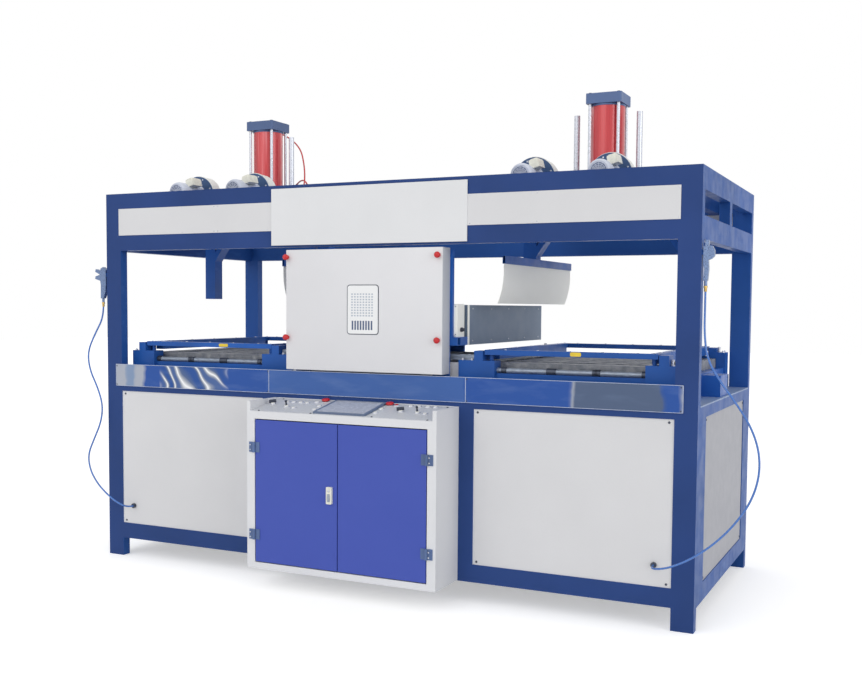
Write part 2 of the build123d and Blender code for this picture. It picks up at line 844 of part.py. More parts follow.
# Press platens, each on a piston rod and two guide rods
for side_name, station in (("left", -1), ("right", 1)):
    station_x = station * station_offset
    with BuildPart() as press_platen:
        with BuildSketch(Plane.XY.offset(platen_top - platen_thickness)):
            with Locations((station_x, mid_y)):
                RectangleRounded(platen_length, platen_depth, platen_corner)
        extrude(amount=platen_thickness)
    save(press_platen, "press_platen_" + side_name)
    with BuildPart() as press_rods:
        rod((station_x, mid_y), piston_rod_diameter, (platen_top, upper_cap_z[0] - piston_rod_top_gap))
        for x in guide_rods[station]:
            rod((station_x + x, mid_y), guide_rod_diameter, (platen_top, mount_z[1] + guide_rod_rise))
    save(press_rods, "press_rods_" + side_name)

# Blowers: a drum with its outlet down through the shelf, a disc on its front and a motor before that
blower_z = shelf_z[1] + blower_clearance + blower_diameter / 2
duct_low = top_upper_low - blower_duct_drop
blower_places = [station * station_offset + x for station in (-1, 1) for x in blower_offsets]
with BuildPart() as blower_housings:
    for x in blower_places:
        with BuildSketch(plane_at_y(drum_y[1])) as drum_outline:
            with Locations((x, blower_z)):
                Circle(blower_diameter / 2)
        extrude(drum_outline.sketch, amount=blower_width)
    rear_rims = blower_housings.faces().filter_by(Axis.Y).group_by(Axis.Y)[-1].edges()
    chamfer(rear_rims, length=blower_rim)
    for x in blower_places:
        block(
            (x - blower_duct / 2, x + blower_duct / 2),
            (drum_y[0], drum_y[1] - blower_rim),
            (duct_low, blower_z),
        )
save(blower_housings, "blower_housings")

disc_y = (drum_y[0] - disc_thickness, drum_y[0])
with BuildPart() as blower_discs:
    with BuildSketch(plane_at_y(disc_y[1])):
        with Locations(*[(x, blower_z) for x in blower_places]):
            Circle(blower_diameter / 2)
    extrude(amount=disc_thickness)
save(blower_discs, "blower_discs")

motor_y = (disc_y[0] - blower_motor_length, disc_y[0])
motor_foot_y = (motor_y[0] + motor_foot_inset, motor_y[1] - motor_foot_inset)
with BuildPart() as blower_motors:
    for x in blower_places:
        with BuildSketch(plane_at_y(motor_y[1])) as motor_outline:
            with Locations((x, blower_z)):
                Circle(blower_motor_diameter / 2)
        extrude(motor_outline.sketch, amount=blower_motor_length)
        block(
            (x - motor_foot_width / 2, x + motor_foot_width / 2),
            motor_foot_y,
            (shelf_z[1], shelf_z[1] + motor_foot_height),
        )
save(blower_motors, "blower_motors")

motor_box_y = (motor_y[0] + motor_box_inset, motor_y[1] - motor_box_inset)
with BuildPart() as motor_terminal_boxes:
    for x in blower_places:
        block(
            (x + motor_box_x[0], x + motor_box_x[1]),
            motor_box_y,
            (blower_z + motor_box_rise[0], blower_z + motor_box_rise[1]),
        )
    with BuildSketch(plane_at_y(motor_box_y[1])) as motor_seats:
        with Locations(*[(x, blower_z) for x in blower_places]):
            Circle(blower_motor_diameter / 2 + seat_gap)
    extrude(motor_seats.sketch, amount=motor_box_y[1] - motor_box_y[0], mode=Mode.SUBTRACT)
save(motor_terminal_boxes, "motor_terminal_boxes")

# Console cabinet: folded side walls, a floor, a back and a frame round the doors
console_x = (-console_width / 2, console_width / 2)
console_y = (front - console_depth, front)
inside_x = (console_x[0] + side_wall, console_x[1] - side_wall)
opening_x = (console_x[0] + door_frame, console_x[1] - door_frame)
opening_z = (door_low - door_gap, door_high + door_gap)
with BuildPart() as console_cabinet:
    block(console_x, console_y, (console_low, console_high))
    with BuildSketch(Plane.XY.offset(console_low + console_wall)) as cabinet_inside:
        with Locations((0, (console_y[0] + door_thickness + console_y[1] - console_wall) / 2)):
            Rectangle(
                inside_x[1] - inside_x[0],
                console_y[1] - console_wall - console_y[0] - door_thickness,
            )
    extrude(cabinet_inside.sketch, amount=console_high, mode=Mode.SUBTRACT)
    with BuildSketch(plane_at_y(console_y[0] + door_thickness)) as front_cut:
        with Locations((0, (opening_z[0] + opening_z[1]) / 2)):
            Rectangle(opening_x[1] - opening_x[0], opening_z[1] - opening_z[0])
        with Locations((0, (console_front_top - top_plate + console_high) / 2)):
            Rectangle(inside_x[1] - inside_x[0], console_high - console_front_top + top_plate)
    extrude(front_cut.sketch, amount=door_thickness, mode=Mode.SUBTRACT)
save(console_cabinet, "console_cabinet")

# Sloped top of the console
slope_rise = console_back_top - console_front_top
slope_run = console_y[1] - console_wall - console_y[0]
slope_angle = atan2(slope_rise, slope_run)
slope = Plane(
    origin=(0, console_y[0], console_front_top),
    x_dir=(1, 0, 0),
    z_dir=(0, -sin(slope_angle), cos(slope_angle)),
)
with BuildPart() as console_top:
    with BuildSketch(Plane.YZ.offset(inside_x[0])):
        with BuildLine():
            Polyline(
                (console_y[0], console_front_top - top_plate),
                (console_y[1] - console_wall, console_back_top - top_plate),
                (console_y[1] - console_wall, console_back_top),
                (console_y[0], console_front_top),
                close=True,
            )
        make_face()
    extrude(amount=inside_x[1] - inside_x[0])
save(console_top, "console_top")

with BuildPart() as touch_screen:
    with BuildSketch(slope):
        with Locations((0, screen_depth / 2 + screen_inset)):
            RectangleRounded(screen_length, screen_depth, screen_corner)
    extrude(amount=screen_height)
save(touch_screen, "touch_screen")

# Push buttons and selectors, a group each side of the screen
with BuildPart() as push_buttons:
    with BuildSketch(slope) as button_outlines:
        with Locations(*button_places):
            Circle(button_diameter / 2)
    extrude(button_outlines.sketch, amount=button_height)
    with BuildSketch(slope) as selector_outlines:
        with Locations(*selector_places):
            Circle(selector_diameter / 2)
    extrude(selector_outlines.sketch, amount=selector_height)
save(push_buttons, "push_buttons")

with BuildPart() as emergency_stops:
    with BuildSketch(slope) as stop_stems:
        with Locations(*stop_places):
            Circle(stop_stem_diameter / 2)
    extrude(stop_stems.sketch, amount=stop_height)
    with BuildSketch(slope.offset(stop_height / 2)) as stop_heads:
        with Locations(*stop_places):
            Circle(stop_diameter / 2)
    extrude(stop_heads.sketch, amount=stop_height / 2)
save(emergency_stops, "emergency_stops")

# Console doors, each a folded tray let into the opening
face_y = console_y[0]
door_leaf_width = (opening_x[1] - opening_x[0] - 3 * door_gap) / 2
door_limits = {
    "left": (opening_x[0] + door_gap, opening_x[0] + door_gap + door_leaf_width),
    "right": (opening_x[1] - door_gap - door_leaf_width, opening_x[1] - door_gap),
}
for side_name, xs in door_limits.items():
    with BuildPart() as console_door:
        block(xs, (face_y, face_y + door_thickness), (door_low, door_high))
        block_inside = (face_y + door_wall, face_y + door_thickness)
        with BuildSketch(plane_at_y(block_inside[1])) as tray_inside:
            with Locations(((xs[0] + xs[1]) / 2, (door_low + door_high) / 2)):
                Rectangle(
                    door_leaf_width - 2 * door_wall,
                    door_high - door_low - 2 * door_wall,
                )
        extrude(tray_inside.sketch, amount=door_thickness - door_wall, mode=Mode.SUBTRACT)
    save(console_door, "console_door_" + side_name)

# Hinges: the middle knuckle and the pin belong to the cabinet, the outer knuckles to the door
pin_y = face_y - hinge_leaf_thickness - knuckle_diameter / 4
third = hinge_height / 3
hinge_zs = (door_low + hinge_insets[0], door_high - hinge_insets[1])


def hinge_leaf_and_knuckle(leaf_zs, pin_x, zs, way, bore):
    """Add one leaf with its knuckle; way is which side of the pin the leaf lies on."""
    edge = pin_x + way * (knuckle_diameter / 2 + knuckle_gap)
    limits = sorted((edge, pin_x + way * hinge_leaf))
    block(limits, (face_y - hinge_leaf_thickness, face_y), leaf_zs)
    block(
        sorted((pin_x, edge)),
        (face_y - hinge_leaf_thickness, face_y - hinge_leaf_thickness / 2),
        zs,
    )
    with BuildSketch(Plane.XY.offset(zs[0])) as knuckle:
        with Locations((pin_x, pin_y)):
            Circle(knuckle_diameter / 2)
    extrude(knuckle.sketch, amount=zs[1] - zs[0])
    if bore:
        with BuildSketch(Plane.XY.offset(zs[0])) as pin_bore:
            with Locations((pin_x, pin_y)):
                Circle(hinge_pin / 2 + hinge_pin_fit)
        extrude(pin_bore.sketch, amount=zs[1] - zs[0], mode=Mode.SUBTRACT)


hinge_pins_x = {"left": opening_x[0], "right": opening_x[1]}
with BuildPart() as cabinet_hinges:
    for side_name, pin_x in hinge_pins_x.items():
        way = -1 if side_name == "left" else 1
        for z in hinge_zs:
            leaf_z = (z - hinge_height / 2, z + hinge_height / 2)
            knuckle_z = (z - third / 2, z + third / 2)
            hinge_leaf_and_knuckle(leaf_z, pin_x, knuckle_z, way, False)
            rod((pin_x, pin_y), hinge_pin, leaf_z)
save(cabinet_hinges, "cabinet_hinges")

for side_name, pin_x in hinge_pins_x.items():
    way = 1 if side_name == "left" else -1
    with BuildPart() as door_hinges:
        for z in hinge_zs:
            leaf_z = (z - hinge_height / 2, z + hinge_height / 2)
            for end in (-1, 1):
                inner = z + end * (third / 2 + knuckle_gap)
                outer = z + end * (hinge_height / 2)
                hinge_leaf_and_knuckle(leaf_z, pin_x, sorted((inner, outer)), way, True)
    save(door_hinges, "door_hinges_" + side_name)

with BuildPart() as door_lock:
    with BuildSketch(plane_at_y(face_y)):
        with Locations((lock_x, door_low + lock_rise)):
            RectangleRounded(lock_width, lock_height, lock_corner)
    extrude(amount=lock_depth)
save(door_lock, "door_lock")

# Blow guns in their hooks on the outer faces of the front posts
gun_inlets = {
    "left": (-half_length - gun_inlet_out[0], base_top + gun_inlet_rise[0]),
    "right": (half_length + gun_inlet_out[1], base_top + gun_inlet_rise[1]),
}
for side_name, (inlet_x, inlet_z) in gun_inlets.items():
    with BuildPart() as blow_gun:
        rod((inlet_x, front + gun_y), ferrule_diameter, (inlet_z, inlet_z + ferrule_height))
        with BuildSketch(plane_at_y(front + gun_y + gun_thickness / 2)) as gun_side:
            with BuildLine():
                Polyline(*[(inlet_x + x, inlet_z + z) for x, z in gun_outlines[side_name]], close=True)
            make_face()
        extrude(gun_side.sketch, amount=gun_thickness)
    save(blow_gun, "blow_gun_" + side_name)

gun_edges = {
    "left": max(x for x, z in gun_outlines["left"]),
    "right": min(x for x, z in gun_outlines["right"]),
}
with BuildPart() as gun_hooks:
    for side_name, side, rise in (("left", -1, hook_rise[0]), ("right", 1, hook_rise[1])):
        inlet_x, inlet_z = gun_inlets[side_name]
        block(
            sorted((side * half_length, inlet_x + gun_edges[side_name])),
            (front + gun_y - hook_thickness / 2, front + gun_y + hook_thickness / 2),
            (inlet_z + rise, inlet_z + rise + hook_height),
        )
save(gun_hooks, "gun_hooks")

# Grommets of the blow guns' hoses in the base panels, and ports of the left cylinder's hoses
grommet_places = (
    (-(half_length - grommet_inset), foot_height + grommet_rise[0]),
    (half_length - grommet_inset, foot_height + grommet_rise[1]),
)
port_x = -station_offset + port_offset
port_y = mid_y + cap_size / 2
port_heights = {
    "upper": (upper_cap_z[0] + upper_cap_z[1]) / 2,
    "lower": (lower_cap_z[0] + lower_cap_z[1]) / 2,
}
with BuildPart() as hose_grommets:
    with BuildSketch(plane_at_y(front + panel_recess)):
        with Locations(*grommet_places):
            Circle(grommet_diameter / 2)
    extrude(amount=grommet_stand_off + panel_recess)
    with BuildSketch(plane_at_y(port_y + port_length)) as port_sections:
        with Locations(*[(port_x, z) for z in port_heights.values()]):
            Circle(port_diameter / 2)
    extrude(port_sections.sketch, amount=port_length)
    for behind in fitting_behind_middle.values():
        fitting = (-station_offset + fitting_shift, mid_y + behind)
        rod(fitting, port_diameter, (mount_z[1], mount_z[1] + port_length))
save(hose_grommets, "hose_grommets")

# Air hoses of the left cylinder and of the blow guns, each as X, distance from the front, Z
hose_points = {
    "cylinder_hose_upper": (
        (-1055, 785, 2427),
        (-1055, 838, 2427),
        (-1020, 876, 2408),
        (-962, 884, 2366),
        (-908, 862, 2312),
        (-870, 826, 2250),
        (-838, 790, 2184),
        (-818, 758, 2120),
        (-816, 742, 2080),
        (-816, 742, 2045),
    ),
    "cylinder_hose_lower": (
        (-1055, 785, 2050),
        (-1055, 845, 2050),
        (-1009, 878, 2078),
        (-950, 872, 2115),
        (-896, 840, 2138),
        (-848, 812, 2130),
        (-816, 796, 2090),
        (-816, 796, 2045),
    ),
    "hose_left": (
        (-1669, 18, 1399),
        (-1669, 18, 1326),
        (-1719, 8, 1238),
        (-1768, -4, 1132),
        (-1745, -14, 1030),
        (-1680, -22, 932),
        (-1637, -30, 836),
        (-1646, -36, 742),
        (-1692, -42, 646),
        (-1731, -50, 556),
        (-1705, -60, 470),
        (-1638, -76, 404),
        (-1564, -92, 360),
        (-1492, -94, 318),
        (-1448, -56, 285),
        (-1448, -8, 285),
    ),
    "hose_right": (
        (1641, 18, 1482),
        (1641, 18, 1398),
        (1643, 4, 1292),
        (1660, -10, 1182),
        (1716, -22, 1094),
        (1782, -34, 1010),
        (1844, -44, 922),
        (1884, -54, 826),
        (1893, -62, 724),
        (1868, -70, 618),
        (1810, -78, 518),
        (1728, -84, 424),
        (1635, -94, 350),
        (1548, -102, 304),
        (1487, -94, 286),
        (1448, -56, 280),
        (1448, -8, 280),
    ),
}


def corner_radii(points):
    """The largest arc that each corner's two runs allow."""
    radii = []
    for before, here, after in zip(points, points[1:], points[2:]):
        arriving = Vector(*here) - Vector(*before)
        leaving = Vector(*after) - Vector(*here)
        turn = radians(arriving.get_angle(leaving))
        radii.append(0.45 * min(arriving.length, leaving.length) / tan(turn / 2))
    return radii


for name, points in hose_points.items():
    placed = [(x, front + y, z) for x, y, z in points]
    radii = corner_radii(placed)
    print(name, "radii", [round(radius) for radius in radii])
    with BuildPart() as hose:
        with BuildLine() as hose_path:
            FilletPolyline(*placed, radius=radii)
        with BuildSketch(Plane(origin=hose_path.line @ 0, z_dir=hose_path.line % 0)):
            Circle(hose_diameter / 2)
        sweep()
    length = sum(edge.length for edge in hose_path.edges())
    print(name, "length", round(length), "volume ratio",
          round(hose.part.volume / (length * pi * hose_diameter**2 / 4), 4))
    save(hose, name)
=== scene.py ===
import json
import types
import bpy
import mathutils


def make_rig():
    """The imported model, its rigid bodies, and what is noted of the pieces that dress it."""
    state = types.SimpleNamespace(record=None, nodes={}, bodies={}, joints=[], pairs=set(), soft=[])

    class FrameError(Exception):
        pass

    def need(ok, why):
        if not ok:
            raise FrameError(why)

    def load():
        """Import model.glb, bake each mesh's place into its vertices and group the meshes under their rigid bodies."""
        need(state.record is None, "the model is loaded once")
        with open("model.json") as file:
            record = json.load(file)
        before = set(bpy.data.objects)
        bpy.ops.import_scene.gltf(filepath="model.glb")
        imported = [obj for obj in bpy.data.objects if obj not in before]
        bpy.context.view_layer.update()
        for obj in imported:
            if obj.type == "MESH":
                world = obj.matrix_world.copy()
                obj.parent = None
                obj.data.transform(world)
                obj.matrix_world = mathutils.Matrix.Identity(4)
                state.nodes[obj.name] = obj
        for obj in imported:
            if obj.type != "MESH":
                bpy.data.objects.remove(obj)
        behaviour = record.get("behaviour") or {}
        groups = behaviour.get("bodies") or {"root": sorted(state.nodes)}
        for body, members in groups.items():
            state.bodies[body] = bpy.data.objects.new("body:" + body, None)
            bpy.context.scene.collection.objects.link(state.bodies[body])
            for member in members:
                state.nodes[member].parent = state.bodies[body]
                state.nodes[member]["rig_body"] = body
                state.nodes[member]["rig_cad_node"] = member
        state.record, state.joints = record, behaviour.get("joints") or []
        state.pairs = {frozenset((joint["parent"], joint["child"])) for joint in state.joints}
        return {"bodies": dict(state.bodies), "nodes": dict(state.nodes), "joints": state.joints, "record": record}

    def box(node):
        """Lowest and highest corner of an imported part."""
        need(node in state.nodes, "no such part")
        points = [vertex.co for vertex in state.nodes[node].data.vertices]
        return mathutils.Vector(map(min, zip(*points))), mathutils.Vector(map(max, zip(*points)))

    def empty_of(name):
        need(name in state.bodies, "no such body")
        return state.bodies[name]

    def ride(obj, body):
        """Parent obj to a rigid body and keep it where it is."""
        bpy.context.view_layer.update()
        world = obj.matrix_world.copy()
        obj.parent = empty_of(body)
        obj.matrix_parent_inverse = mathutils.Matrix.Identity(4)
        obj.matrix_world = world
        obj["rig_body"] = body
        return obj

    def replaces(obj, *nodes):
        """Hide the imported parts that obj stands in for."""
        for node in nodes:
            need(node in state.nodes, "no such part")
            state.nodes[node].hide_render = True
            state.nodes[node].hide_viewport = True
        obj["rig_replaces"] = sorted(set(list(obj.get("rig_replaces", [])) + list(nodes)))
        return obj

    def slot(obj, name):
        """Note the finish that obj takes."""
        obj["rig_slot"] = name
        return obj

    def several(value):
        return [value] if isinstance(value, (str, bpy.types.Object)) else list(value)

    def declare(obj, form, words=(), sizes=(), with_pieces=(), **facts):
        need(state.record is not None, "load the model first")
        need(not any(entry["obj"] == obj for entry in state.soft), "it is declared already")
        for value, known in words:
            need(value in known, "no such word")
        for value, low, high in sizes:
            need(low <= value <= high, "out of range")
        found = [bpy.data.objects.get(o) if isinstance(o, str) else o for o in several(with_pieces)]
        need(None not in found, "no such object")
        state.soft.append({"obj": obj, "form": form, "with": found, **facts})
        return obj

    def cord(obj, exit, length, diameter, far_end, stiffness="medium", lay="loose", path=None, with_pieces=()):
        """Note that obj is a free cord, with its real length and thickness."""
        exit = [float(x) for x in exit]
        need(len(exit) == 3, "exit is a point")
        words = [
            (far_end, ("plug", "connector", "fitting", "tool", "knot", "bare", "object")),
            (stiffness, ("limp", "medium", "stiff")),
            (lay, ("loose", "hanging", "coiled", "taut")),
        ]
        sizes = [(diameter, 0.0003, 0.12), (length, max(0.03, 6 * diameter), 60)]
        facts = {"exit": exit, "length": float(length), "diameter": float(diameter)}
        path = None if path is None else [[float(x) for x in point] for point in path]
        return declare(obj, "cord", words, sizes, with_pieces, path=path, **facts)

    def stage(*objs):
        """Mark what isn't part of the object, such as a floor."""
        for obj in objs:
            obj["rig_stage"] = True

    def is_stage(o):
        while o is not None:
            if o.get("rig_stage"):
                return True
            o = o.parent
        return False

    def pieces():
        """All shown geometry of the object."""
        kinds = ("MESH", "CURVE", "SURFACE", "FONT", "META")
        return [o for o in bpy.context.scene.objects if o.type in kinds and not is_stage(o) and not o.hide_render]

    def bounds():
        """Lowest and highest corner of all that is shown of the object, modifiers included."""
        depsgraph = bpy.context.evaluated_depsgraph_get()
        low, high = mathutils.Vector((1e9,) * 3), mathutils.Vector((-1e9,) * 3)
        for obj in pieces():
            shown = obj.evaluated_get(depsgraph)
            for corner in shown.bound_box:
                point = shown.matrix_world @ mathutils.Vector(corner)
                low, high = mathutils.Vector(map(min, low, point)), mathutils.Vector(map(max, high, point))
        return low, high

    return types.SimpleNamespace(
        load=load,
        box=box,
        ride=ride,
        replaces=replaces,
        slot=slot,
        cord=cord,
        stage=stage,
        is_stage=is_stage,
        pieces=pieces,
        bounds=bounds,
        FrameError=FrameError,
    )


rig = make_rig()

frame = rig.load()
cad_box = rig.bounds()

import json
import math

import bmesh
import bpy
from mathutils import Euler, Matrix, Vector

nodes = frame["nodes"]

# Where the machine's main planes lie, in metres
FRONT = -0.5525
BACK = 0.7975
MIDDLE = 0.1225
STATION_X = 1.015

# The photograph's camera, in the machine's frame
CAMERA_PLACE = Vector((2.5284, -5.0678, 1.3929))
CAMERA_YAW = 0.4485
CAMERA_PITCH = -0.0588
CAMERA_ROLL = 0.007
FOCAL_PIXELS = 1056.366
PICTURE_WIDTH = 862
PICTURE_HEIGHT = 691
PRINCIPAL_POINT = (428.57, 369.36)
SENSOR_WIDTH = 36


def make_camera():
    data = bpy.data.cameras.new("camera")
    camera = bpy.data.objects.new("camera", data)
    bpy.context.collection.objects.link(camera)
    data.sensor_width = SENSOR_WIDTH
    data.lens = FOCAL_PIXELS * SENSOR_WIDTH / PICTURE_WIDTH
    data.shift_x = (PICTURE_WIDTH / 2 - PRINCIPAL_POINT[0]) / PICTURE_WIDTH
    data.shift_y = (PRINCIPAL_POINT[1] - PICTURE_HEIGHT / 2) / PICTURE_WIDTH
    data.clip_end = 100
    camera.location = CAMERA_PLACE
    turn = Euler((math.pi / 2 + CAMERA_PITCH, 0, CAMERA_YAW), "XYZ").to_matrix()
    roll = Euler((0, 0, CAMERA_ROLL), "XYZ").to_matrix()
    camera.rotation_euler = (turn @ roll).to_euler()
    bpy.context.scene.camera = camera


make_camera()

# Air hoses, as in the part's source, each from its exit to its far end
HOSE_DIAMETER = 0.009
HOSES = {
    "hose_left": {
        "length": 1.372,
        "slot": "hose_blue",
        "points": (
            (-1.669, 0.018, 1.399), (-1.669, 0.018, 1.326), (-1.719, 0.008, 1.238),
            (-1.768, -0.004, 1.132), (-1.745, -0.014, 1.030), (-1.680, -0.022, 0.932),
            (-1.637, -0.030, 0.836), (-1.646, -0.036, 0.742), (-1.692, -0.042, 0.646),
            (-1.731, -0.050, 0.556), (-1.705, -0.060, 0.470), (-1.638, -0.076, 0.404),
            (-1.564, -0.092, 0.360), (-1.492, -0.094, 0.318), (-1.448, -0.056, 0.285),
            (-1.448, -0.008, 0.285),
        ),
    },
    "hose_right": {
        "length": 1.556,
        "slot": "hose_blue",
        "points": (
            (1.641, 0.018, 1.482), (1.641, 0.018, 1.398), (1.643, 0.004, 1.292),
            (1.660, -0.010, 1.182), (1.716, -0.022, 1.094), (1.782, -0.034, 1.010),
            (1.844, -0.044, 0.922), (1.884, -0.054, 0.826), (1.893, -0.062, 0.724),
            (1.868, -0.070, 0.618), (1.810, -0.078, 0.518), (1.728, -0.084, 0.424),
            (1.635, -0.094, 0.350), (1.548, -0.102, 0.304), (1.487, -0.094, 0.286),
            (1.448, -0.056, 0.280), (1.448, -0.008, 0.280),
        ),
    },
    "cylinder_hose_upper": {
        "length": 0.568,
        "slot": "hose_red",
        "points": (
            (-1.055, 0.785, 2.427), (-1.055, 0.838, 2.427), (-1.020, 0.876, 2.408),
            (-0.962, 0.884, 2.366), (-0.908, 0.862, 2.312), (-0.870, 0.826, 2.250),
            (-0.838, 0.790, 2.184), (-0.818, 0.758, 2.120), (-0.816, 0.742, 2.080),
            (-0.816, 0.742, 2.045),
        ),
    },
    "cylinder_hose_lower": {
        "length": 0.402,
        "slot": "hose_red",
        "points": (
            (-1.055, 0.785, 2.050), (-1.055, 0.845, 2.050), (-1.009, 0.878, 2.078),
            (-0.950, 0.872, 2.115), (-0.896, 0.840, 2.138), (-0.848, 0.812, 2.130),
            (-0.816, 0.796, 2.090), (-0.816, 0.796, 2.045),
        ),
    },
}


def hose_spline(name):
    curve = bpy.data.curves.new(name + "_piece", "CURVE")
    curve.dimensions = "3D"
    curve.bevel_depth = HOSE_DIAMETER / 2
    curve.bevel_resolution = 4
    curve.use_fill_caps = True
    spline = curve.splines.new("NURBS")
    points = [(x, FRONT + y, z) for x, y, z in HOSES[name]["points"]]
    spline.points.add(len(points) - 1)
    for point, place in zip(spline.points, points):
        point.co = (*place, 1)
    spline.order_u = 3
    spline.use_endpoint_u = True
    spline.resolution_u = 8
    hose = bpy.data.objects.new(name + "_piece", curve)
    bpy.context.collection.objects.link(hose)
    return hose, points


# ---- Finishes ------------------------------------------------

finishes = {}  # every material made here, by its name


def linear(colour):
    """A colour written 0 to 255, as the shader wants it."""
    parts = [c / 255 for c in colour]
    return [c / 12.92 if c <= 0.04045 else ((c + 0.055) / 1.055) ** 2.4 for c in parts]


def shade_of(colour, share):
    return tuple(max(0, min(255, round(c * share))) for c in colour)


class Finish:
    """A material whose nodes are laid one after another on the piece's own coordinates."""

    def __init__(self, name, roughness, metallic=0.0, coat=0.0, coat_roughness=0.1, shine=0.5):
        material = finishes[name] = bpy.data.materials.new(name)
        material.use_nodes = True
        self.tree = material.node_tree
        self.shader = self.tree.nodes["Principled BSDF"]
        self.shader.inputs["Roughness"].default_value = roughness
        self.shader.inputs["Metallic"].default_value = metallic
        self.shader.inputs["Specular IOR Level"].default_value = shine
        self.shader.inputs["Coat Weight"].default_value = coat
        self.shader.inputs["Coat Roughness"].default_value = coat_roughness
        self.place = self.tree.nodes.new("ShaderNodeTexCoord").outputs["Object"]

    def node(self, kind, **settings):
        node = self.tree.nodes.new(kind)
        for key, value in settings.items():
            setattr(node, key, value)
        return node

    def join(self, output, socket):
        self.tree.links.new(output, socket)

    def stretched(self, stretch):
        mapping = self.node("ShaderNodeMapping")
        mapping.inputs["Scale"].default_value = stretch
        self.join(self.place, mapping.inputs["Vector"])
        return mapping.outputs["Vector"]

    def noise(self, scale, detail=3.0, stretch=(1, 1, 1)):
        noise = self.node("ShaderNodeTexNoise")
        noise.inputs["Scale"].default_value = scale
        noise.inputs["Detail"].default_value = detail
        self.join(self.stretched(stretch), noise.inputs["Vector"])
        return noise.outputs["Fac"]

    def ramp(self, factor, stops):
        ramp = self.node("ShaderNodeValToRGB")
        elements = ramp.color_ramp.elements
        while len(elements) < len(stops):
            elements.new(0.5)
        for element, stop in zip(elements, stops):
            element.position = stop[0]
        for element, stop in zip(elements, stops):
            element.color = (*linear(stop[1]), 1)
        self.join(factor, ramp.inputs["Fac"])
        return ramp.outputs["Color"]

    def mottled(self, factor, colour, spread, start=0.3, end=0.7):
        """The colour, from darker to paler by the spread as the factor rises."""
        dark, pale = shade_of(colour, 1 - spread), shade_of(colour, 1 + spread)
        return self.ramp(factor, ((start, dark), (end, pale)))

    def spread(self, factor, low, high, start=0.3, end=0.7, clamp=True):
        """The factor's range from start to end, spread from low to high."""
        spread = self.node("ShaderNodeMapRange", clamp=clamp)
        limits = {"From Min": start, "From Max": end, "To Min": low, "To Max": high}
        for key, value in limits.items():
            spread.inputs[key].default_value = value
        self.join(factor, spread.inputs["Value"])
        return spread.outputs["Result"]

    def blend(self, factor, first, second):
        mix = self.node("ShaderNodeMix", data_type="RGBA")
        self.join(factor, mix.inputs["Factor"])
        for socket, source in ((mix.inputs[6], first), (mix.inputs[7], second)):
            if isinstance(source, tuple):
                socket.default_value = (*linear(source), 1)
            else:
                self.join(source, socket)
        return mix.outputs[2]

    def maths(self, operation, *values):
        node = self.node("ShaderNodeMath", operation=operation)
        for socket, value in zip(node.inputs, values):
            if isinstance(value, float):
                socket.default_value = value
            else:
                self.join(value, socket)
        return node.outputs[0]

    def product(self, first, second):
        return self.maths("MULTIPLY", first, second)

    def part_of(self, vector, axis):
        parts = self.node("ShaderNodeSeparateXYZ")
        self.join(vector, parts.inputs["Vector"])
        return parts.outputs[axis]

    def along(self, axis):
        return self.part_of(self.place, axis)

    def side(self, axis, low, high):
        """1 on faces whose normal along the axis lies past low towards high."""
        normal = self.node("ShaderNodeNewGeometry").outputs["Normal"]
        return self.spread(self.part_of(normal, axis), 0.0, 1.0, low, high)

    def colour(self, output):
        self.join(output, self.shader.inputs["Base Color"])

    def gloss(self, output):
        self.join(output, self.shader.inputs["Roughness"])

    def bump(self, height, strength, distance):
        bump = self.node("ShaderNodeBump")
        bump.inputs["Strength"].default_value = strength
        bump.inputs["Distance"].default_value = distance
        self.join(height, bump.inputs["Height"])
        self.join(bump.outputs["Normal"], self.shader.inputs["Normal"])


# How far behind the front plane the painted shade of the front faces ends, in metres
FRONT_SHADE_DEPTHS = (0.006, 0.010)
# How much paler a painted highlight streak is, of 255
HIGHLIGHT_PALER = 38


def sprayed_enamel(name, colour, roughness, spread, front=None, streaks=0.0, shine=0.16):
    """Sprayed enamel: slow cloudiness and fine orange peel, with a darker front tone as painted shade on the outer
    front faces, and faint paler streaks as painted highlight on the faces that don't look to the front.
    """
    finish = Finish(name, roughness, shine=shine)
    cloud = finish.noise(2.2, detail=4.0)
    tone = finish.mottled(cloud, colour, spread)
    # The front tone, darker, is painted shade on the outer front faces.
    if front:
        depths = (FRONT + depth for depth in FRONT_SHADE_DEPTHS)
        outer = finish.spread(finish.along("Y"), 1.0, 0.0, *depths)
        shaded_front_face = finish.product(finish.side("Y", -0.4, -0.8), outer)
        tone = finish.blend(shaded_front_face, tone, finish.mottled(cloud, front, spread))
    # Faint paler streaks on the faces that don't look to the front: painted highlight.
    if streaks:
        stroke = finish.noise(9.0, detail=5.0, stretch=(0.25, 1.0, 3.0))
        stroke = finish.spread(stroke, 0.0, streaks, 0.55, 0.85)
        away = finish.side("Y", -0.8, -0.3)
        highlight_tone = tuple(min(255, c + HIGHLIGHT_PALER) for c in colour)
        tone = finish.blend(finish.product(stroke, away), tone, highlight_tone)
    finish.colour(tone)
    finish.gloss(finish.spread(finish.noise(14.0), roughness - 0.06, roughness + 0.1))
    orange_peel = finish.noise(420.0, detail=2.0)
    finish.bump(orange_peel, strength=0.12, distance=0.0004)


def powder_coat(name, colour, roughness=0.5, grain=900.0, depth=0.15, side=None):
    """Powder coat on sheet: a fine even grain with a little handling dirt, and, where a side tone is given, a darker
    painted shade on the faces that look to +X.
    """
    finish = Finish(name, roughness, shine=0.25)
    tone = finish.mottled(finish.noise(3.0), colour, 0.008)
    # The side tone is painted shade on the faces that look to +X.
    if side:
        tone = finish.blend(finish.side("X", 0.4, 0.8), tone, side)
    dirt = finish.spread(finish.noise(grain / 3, detail=2.0), 0.0, 0.10, 0.55, 0.75)
    finish.colour(finish.blend(dirt, tone, shade_of(colour, 0.86)))
    finish.gloss(finish.spread(finish.noise(20.0), roughness - 0.05, roughness + 0.08))
    finish.bump(finish.noise(grain, detail=2.0), strength=depth, distance=0.0004)


